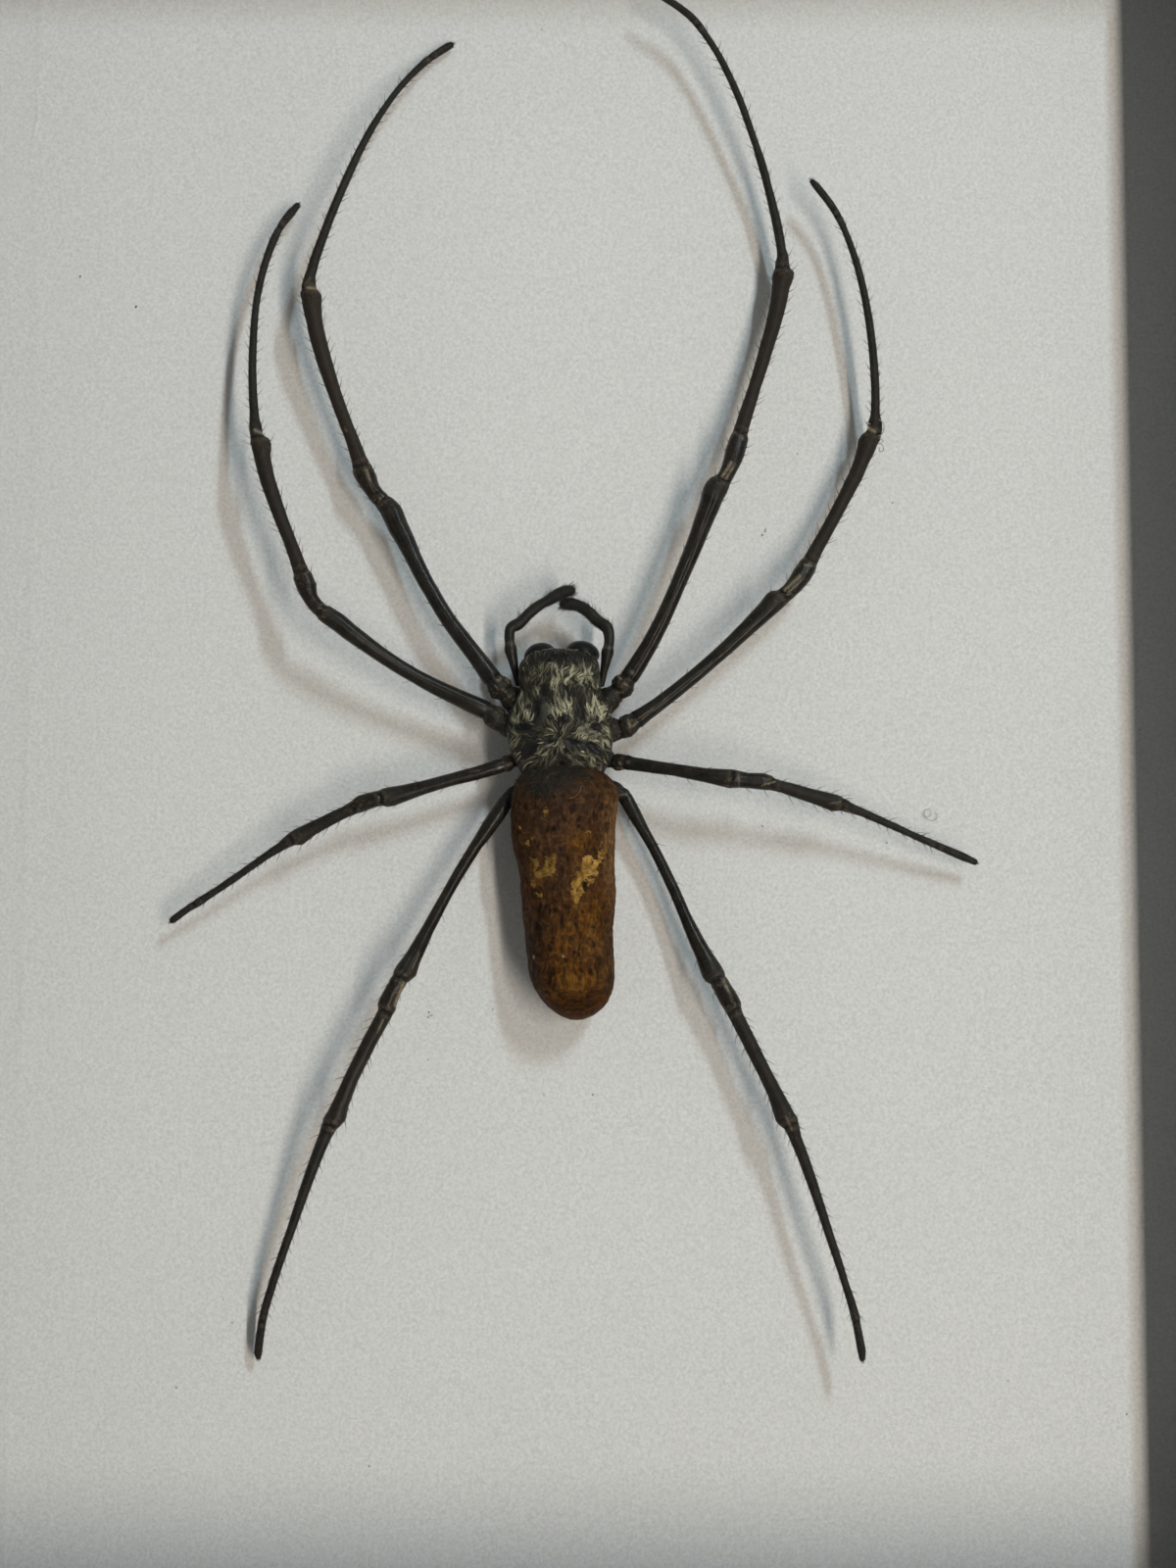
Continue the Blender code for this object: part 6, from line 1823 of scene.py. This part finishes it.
# ochre patches: outlines as image points, and how bright each is; their edges
# wander a little
q_ = np.stack([px * 0.42, py * 0.42, np.zeros_like(px)], -1)
patch_x = px + 1.25 * vnoise(q_, 961) + 0.7 * vnoise(q_ * 2.1, 963)
patch_y = py + 1.25 * vnoise(q_, 962) + 0.7 * vnoise(q_ * 2.1, 964)
PATCHES = [
    ([(544, 878), (546, 876), (549, 877), (550, 884), (552, 887), (555, 885), (556, 876),
      (558, 873), (562, 873), (566, 871), (567, 878), (567, 885), (566, 891), (562, 894),
      (556, 896), (550, 896), (546, 894), (544, 888)], 0.42),
    ([(562, 873), (566.5, 871), (567, 878), (566, 882), (563, 881)], 0.75),
    ([(541, 874), (543, 873), (543.5, 877), (542, 879)], 0.4),
    ([(543, 896), (545.5, 896), (545, 899), (543, 899)], 0.5),
    ([(543, 900), (546, 901), (547.5, 904), (546.5, 907), (543.5, 906), (542, 903)], 0.6),
    ([(547, 910), (551, 911), (553.5, 913), (553, 917), (550, 915), (548, 916)], 0.6),
    ([(595, 875), (598, 872), (603, 873), (605, 876), (610, 879), (613, 876), (614, 880),
      (610, 887), (609, 893), (604, 894), (600, 892), (596, 895), (592, 897), (594, 889),
      (593, 881)], 0.85),
    ([(588, 889), (591, 888), (598, 891), (601, 895), (597, 899), (592, 899), (588, 897)], 0.8),
    ([(600, 898), (604, 895), (606.5, 897), (604, 901), (601, 905), (599, 903)], 0.75),
    ([(583, 898), (588, 897), (593, 899), (597, 898), (599, 901), (597, 907), (597, 911),
      (593, 915), (591, 920), (588, 924), (585, 920), (582, 913), (584, 907), (582, 903)], 1.0),
    ([(610, 869), (613, 867), (616, 868), (617.5, 866), (618, 869), (616, 874), (614, 878),
      (610.5, 877), (609.5, 873)], 0.7),
    ([(556, 825), (558.5, 824), (559, 828), (558.5, 833), (556.5, 834), (556, 829)], 0.8),
    ([(594, 848), (602.5, 848), (602.5, 849.6), (594, 849.8)], 1.1),
    ([(541, 854), (545, 853.5), (545.5, 857), (542.5, 857.5)], 0.6),
    ([(537, 858), (539.5, 857.5), (539.5, 861), (537, 861.5)], 0.6),
    ([(539, 862), (541.5, 862), (541, 864.5), (539.5, 864)], 0.6),
    ([(529.2, 843.2), (531, 843), (531.4, 845.4), (529.6, 845.6)], 0.9),
    ([(612, 860), (614, 859.5), (614.5, 862), (612.5, 862.5)], 0.7),
]
patch = np.full(len(px), -9.0)
bright = np.zeros(len(px))
for poly, lum in PATCHES:
    dd = inside(poly)
    bright = np.where(dd > patch, lum, bright)
    patch = np.maximum(patch, dd)
patch = np.where(v[:, 2] > 6.0, patch, -9.0)
# dark holes in the patches
for hx, hy, ha, hb in ((596.5, 903.5, 2.5, 4.0), (604.5, 879.5, 1.6, 1.6), (611, 885, 1.6, 3.0),
                       (612.5, 873, 1.5, 1.6), (590, 908, 1.4, 1.6), (548, 887, 1.8, 2.2),
                       (561, 884, 1.6, 2.2), (551.5, 881, 1.4, 4.0)):
    dd = 1 - np.hypot((patch_x - hx) / ha, (patch_y - hy) / hb)
    patch = np.minimum(patch, -dd * min(ha, hb))
crust = 0.045 * smooth(-0.6, 0.9, patch + 0.9 * fbm(v * 4.0, 3, 930))
v[:, 2] += crust * up
# small dark pits
PITTED = [(564, 846, 2.2, 2), (591, 843, 2, 2), (572, 866, 2, 2.4), (579, 877, 1.6, 2.4),
          (573, 940, 1.8, 6), (587, 943, 2, 2.6), (605, 946, 2, 2), (601, 958, 2, 2),
          (606, 965, 1.8, 2.4), (565, 994, 2, 2.4), (602, 992, 2, 3), (586, 972, 2, 2),
          (590, 975, 1.6, 2), (577, 980, 1.6, 2), (596.5, 903.5, 2.5, 4.0), (550, 930, 3, 7),
          (548, 946, 3, 8), (557, 925, 2, 3), (566, 930, 1.6, 3), (594, 930, 1.6, 2.5),
          (560, 1003, 2, 2.4), (571, 1016, 2.4, 1.6), (590, 1022, 2.6, 1.6), (604, 1012, 2, 2)]
pit = np.zeros(len(px))
for hx, hy, ha, hb in PITTED:
    pit = np.maximum(pit, np.exp(-(((px - hx) / ha) ** 2 + ((py - hy) / hb) ** 2)) * up)
v[:, 2] -= 0.10 * pit

golden = (zone(588, 1000, 26, 16) * 0.85 + zone(604, 935, 14, 26) * 0.85
          + zone(580, 972, 22, 20) * 0.50 + zone(575, 940, 14, 20) * 0.30
          + zone(527, 850, 7, 40) * 0.35 + zone(593, 860, 12, 11) * 0.75 + zone(580, 1022, 30, 8) * 0.25)
red = (zone(572, 826, 40, 22) * 0.85 + zone(556, 856, 28, 18) * 0.6
       + zone(572, 888, 7, 24) * 0.6)
dark = (zone(549, 940, 9, 24) * 0.55 + zone(536, 860, 9, 22) * 0.10
        + zone(562, 905, 10, 8) * 0.3 + zone(541, 990, 8, 26) * 0.45
        + zone(618, 985, 10, 26) * 0.30 + zone(618, 802, 13, 13) * 0.45)
wob = 5 * vnoise(np.stack([px * 0.10, px * 0, px * 0], -1), 951)
grey = (zone(566, 786, 36, 24 , 4, 1.6) + 0.8 * zone(548, 806, 16, 7, 0)) * smooth(826, 806, py + wob)
grey = np.maximum(grey, smooth(792, 782, py + wob) * (py < 800))
tail = smooth(1006, 1030, py - 0.12 * (575 - px))
edge_r = smooth(611, 622, px) * smooth(806, 822, py) * (1 - smooth(868, 935, py))
pale_pt = np.zeros(len(px))
for hx, hy, ha, hb in ((544.5, 977, 0.8, 1.8), (575, 976, 1.1, 0.7)):
    pale_pt += np.exp(-(((px - hx) / ha) ** 2 + ((py - hy) / hb) ** 2)) * up
gold = np.zeros(len(px))                    # golden strokes
for hx, hy, ha, hb, dg in ((594, 1002, 1.6, 7, 12), (604, 947, 1.4, 1.4, 0), (601.5, 950, 1.2, 4.0, 0), (586, 1000, 1.4, 8, 0), (579, 998, 1.4, 8, -8),
                           (603, 947, 2.2, 7, 8), (600, 957, 1.8, 5, -20), (580, 942.5, 2.4, 2.4, 0),
                           (586, 925, 1.6, 1.6, 0), (572, 1004, 1.5, 6, -15),
                           (588, 1010, 6, 1.4, 5), (606, 955, 1.6, 4, 0)):
    gold = np.maximum(gold, zone(hx, hy, ha, hb, dg))

m = Mat("abdomen_skin", 0.6)
fine = m.noise(4.2, 4.0, 0.65, m.place((1.0, 0.6, 1.0)), dist=0.5)
coarse = m.noise(0.45, 3.0, 0.55)
col = m.ramp(coarse, [(0.30, (0.046, 0.0185, 0.0050)), (0.50, (0.060, 0.0250, 0.0068)),
                      (0.72, (0.084, 0.0370, 0.0100))])
col = m.mix(m.attr("red"), col, m.ramp(coarse, [(0.3, (0.034, 0.0165, 0.0090)),
                                                (0.7, (0.060, 0.0290, 0.0130))]))
col = m.mix(m.attr("golden"), col, m.ramp(coarse, [(0.3, (0.076, 0.0265, 0.0008)),
                                                   (0.7, (0.108, 0.0420, 0.0020))]))
col = m.mix(m.attr("edge"), col, (0.118, 0.0570, 0.0210))
col = m.mix(m.attr("dark"), col, (0.028, 0.0150, 0.0070))
col = m.mix(m.attr("tail"), col, m.ramp(coarse, [(0.3, (0.032, 0.0105, 0.0006)),
                                                 (0.7, (0.066, 0.0235, 0.0012))]))
# painted light and shade: crests of the wrinkles paler, hollows nearly black
cr = m.math("ADD", m.attr("crest"), m.grey(fine, 0.30, 0.70, -0.45, 0.45))
hollow_shade = m.mix(0.74, col, (0.007, 0.0035, 0.0012))
base = col
col = m.mix(m.grey(cr, -0.95, 0.25), hollow_shade, base)
# crests painted lighter, as if lit
light = m.mix(1.0, base, (1.95, 1.95, 1.80), "MULTIPLY")
col = m.mix(m.grey(cr, 0.20, 1.25), col, light)
col = m.mix(m.math("MULTIPLY", m.attr("gold"), m.grey(fine, 0.3, 0.6)), col,
            (0.230, 0.1150, 0.0250))
greyc = m.ramp(fine, [(0.3, (0.0095, 0.0082, 0.0058)), (0.7, (0.034, 0.0290, 0.0200))])
col = m.mix(m.attr("grey"), col, greyc)
pm = m.math("ADD", m.attr("patch"), m.grey(m.noise(3.2, 4.0, 0.7), 0.25, 0.75, -1.7, 1.5))
pmask = m.grey(pm, -0.3, 0.4)
pcol = m.ramp(m.noise(2.2, 4.0, 0.65), [(0.32, (0.130, 0.068, 0.012)), (0.50, (0.310, 0.170, 0.036)),
                                         (0.72, (0.500, 0.300, 0.080))])
pcol = m.mix(m.grey(m.attr("bright"), 0.2, 1.0), m.mix(0.55, pcol, (0.075, 0.052, 0.014)), pcol)
pcol = m.mix(m.grey(m.noise(3.4, 3.0, 0.6), 0.54, 0.66, 0.0, 0.60), pcol, (0.080, 0.038, 0.008))
pcol = m.mix(1.0, pcol, m.mix(m.grey(m.noise(0.9, 2.0, 0.5), 0.35, 0.65), (0.82, 0.80, 0.72), (1.26, 1.26, 1.20)), "MULTIPLY")
col = m.mix(pmask, col, pcol)
col = m.mix(m.attr("pit"), col, (0.005, 0.003, 0.002))
col = m.mix(m.attr("dot"), col, (0.46, 0.42, 0.33))
m.colour(col)
m.rough(m.grey(fine, 0.3, 0.75, 0.46, 0.70))
m.b.inputs["Specular IOR Level"].default_value = 0.06
m.bump(m.math("ADD", fine, m.math("MULTIPLY", cr, 0.25)), 0.55, 0.00010)
skin_mat = m.m

skin = Pile()
skin.add(v, q, t, golden=np.clip(golden, 0, 1), red=np.clip(red, 0, 1),
         dark=np.clip(dark, 0, 0.92), edge=np.clip(edge_r, 0, 0.9), patch=patch,
         bright=bright, crest=crest, grey=np.clip(grey, 0, 0.95), tail=tail,
         gold=np.clip(gold, 0, 1) * 0.8, pit=np.clip(pit, 0, 0.9),
         dot=np.clip(pale_pt, 0, 1))
ob = skin.object("spider_abdomen", skin_mat)
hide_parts("abdomen")
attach(ob, "root")

# grey-brown fur over the front of the abdomen
m = Mat("grey_hair", 0.6)
m.colour(m.ramp(m.attr("tone"), [(0.0, (0.012, 0.0105, 0.0080)), (0.6, (0.060, 0.0530, 0.0380)),
                                 (1.0, (0.240, 0.2200, 0.1650))]))
m.b.inputs["Specular IOR Level"].default_value = 0.25
grey_mat = m.m
fur = Pile()
count = 3400
i = rng.choice(np.where((py < 822) & (v[:, 2] > 5.0) & (py > 770))[0], count)
w = np.clip(1.2 - np.hypot((px[i] - 566) / 42.0, (py[i] - 782) / 29.0) ** 2, 0.03, 1)
i = i[rng.uniform(0, 1, count) < w]
root = v[i]
n = len(root)
mid = spot(572, 776, 9.5)
ang = np.arctan2(root[:, 1] - mid[1] - 0.5, (root[:, 0] - mid[0]) * 1.2) \
    + 0.6 * vnoise(np.c_[root[:, :2] * 0.9, np.zeros(n)], 940) + rng.normal(0, 0.3, n)
k = 6
L = rng.uniform(0.35, 1.0, n) * (0.6 + 0.4 * smooth(48, 20, np.abs(px[i] - 572)))
A = ang.copy()
paths = np.zeros((n, k, 3))
X = root.copy()
for j in range(k):
    f = j / (k - 1)
    paths[:, j] = X + np.array([0, 0, 1.0]) * (0.05 + 0.20 * f * (1 - 0.4 * f))
    A = A + rng.normal(0, 0.34, n)
    X = X + np.stack([np.cos(A), np.sin(A), -0.10 * np.ones(n)], -1) * (L / (k - 1))[:, None]
rad = rng.uniform(0.018, 0.030, n)[:, None] * (1 - 0.7 * np.linspace(0, 1, k)[None])
vv, qq, tt = strands(paths, rad, 3, flat=0.8)
tone = np.clip(rng.uniform(0.0, 0.75, n) + 0.25 * (rng.uniform(0, 1, n) > 0.93)
               + 0.25 * vnoise(np.c_[root[:, :2] * 1.4, np.zeros(n)], 943), 0, 1)
fur.add(vv, qq, tt, tone=np.repeat(tone, k * 3))
# thin short down over the rest, seen along the edges
idx = rng.choice(len(px), 1500)
idx = idx[(py[idx] > 815)]
nrm = v[idx] - np.stack([np.interp(-v[idx, 1], [7, 36], [-2.0, -0.8]), v[idx, 1],
                         np.full(len(idx), 5.2)], -1)
nrm /= np.linalg.norm(nrm, axis=1)[:, None]
back = np.stack([np.zeros(len(idx)), -np.ones(len(idx)), np.zeros(len(idx))], -1)
keep = v[idx, 2] > 1.0
idx, nrm, back = idx[keep], nrm[keep], back[keep]
bristles(fur, v[idx], nrm, back, rng.uniform(0.12, 0.26, len(idx)),
         rng.uniform(0.010, 0.016, len(idx)), np.radians(rng.uniform(20, 50, len(idx))))
fur.a["tone"].append(np.full(len(idx) * 12, 0.55))
# one long pale hair curling over the front
path = spline(np.array([spot(*p_) for p_ in ((580, 815, 10.9), (585, 813.5, 11.0), (590, 810, 11.0),
                                              (592.5, 806, 10.9), (593, 802, 10.6))]),
              np.linspace(0, 1, 20))
fur.add(*strands(path[None], np.full((1, 20), 0.028), 3), tone=1.0)
ob = fur.object("spider_abdomen_fur", grey_mat)
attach(ob, "root")

# ---------------------------------------------------------------- stage, light
m = Mat("studio_floor", 0.75)
fl = m.noise(0.004, 3.0)
m.colour(m.ramp(fl, [(0.3, (0.70, 0.70, 0.69)), (0.7, (0.76, 0.76, 0.75))]))
me = bpy.data.meshes.new("studio_floor")
me.from_pydata([(-3, -3, -0.0003), (3, -3, -0.0003), (3, 3, -0.0003), (-3, 3, -0.0003)],
               [], [(0, 1, 2, 3)])
me.materials.append(m.m)
floor = bpy.data.objects.new("studio_floor", me)
bpy.context.scene.collection.objects.link(floor)


def strip(name, slope, height, half_x, half_y, power, colour):
    """Long narrow lamp above, level, in the direction slope = (x, y) per
    unit of height; half sizes are slopes too."""
    d = bpy.data.lights.new(name, "AREA")
    d.shape = "RECTANGLE"
    d.size = 2 * half_x * height
    d.size_y = 2 * half_y * height
    d.energy = power
    d.color = colour
    ob = bpy.data.objects.new(name, d)
    ob.location = (slope[0] * height, slope[1] * height, height)
    bpy.context.scene.collection.objects.link(ob)
    return ob


H = 1.2
strip("warm_strip", (0.474, -0.320), H, 0.035, 0.47, 13.6, (1.0, 0.900, 0.845))
strip("cool_strip", (0.548, 0.745), H, 0.030, 0.18, 15.2, (0.731, 0.865, 1.0))

w = bpy.data.worlds.new("studio")
bpy.context.scene.world = w
w.use_nodes = True
nt = w.node_tree
bg = nt.nodes["Background"]
tc = nt.nodes.new("ShaderNodeTexCoord")
sep = nt.nodes.new("ShaderNodeSeparateXYZ")
rp = nt.nodes.new("ShaderNodeValToRGB")
for pos, col in ((0.0, (0.520, 0.515, 0.540)), (0.50, (0.245, 0.243, 0.250)),
                 (0.84, (0.215, 0.214, 0.218)), (0.93, (0.030, 0.030, 0.031)),
                 (1.0, (0.020, 0.020, 0.021))):
    e = (rp.color_ramp.elements[0] if pos == 0.0 else
         rp.color_ramp.elements[-1] if pos == 1.0 else rp.color_ramp.elements.new(pos))
    e.position = pos
    e.color = (*col, 1.0)
nt.links.new(tc.outputs["Generated"], sep.inputs["Vector"])
nt.links.new(sep.outputs["Z"], rp.inputs["Fac"])
nt.links.new(rp.outputs["Color"], bg.inputs["Color"])
bg.inputs["Strength"].default_value = 1.0

vs = bpy.context.scene.view_settings
vs.view_transform = "Standard"
vs.look = "None"
vs.exposure = 0.0
vs.gamma = 1.0
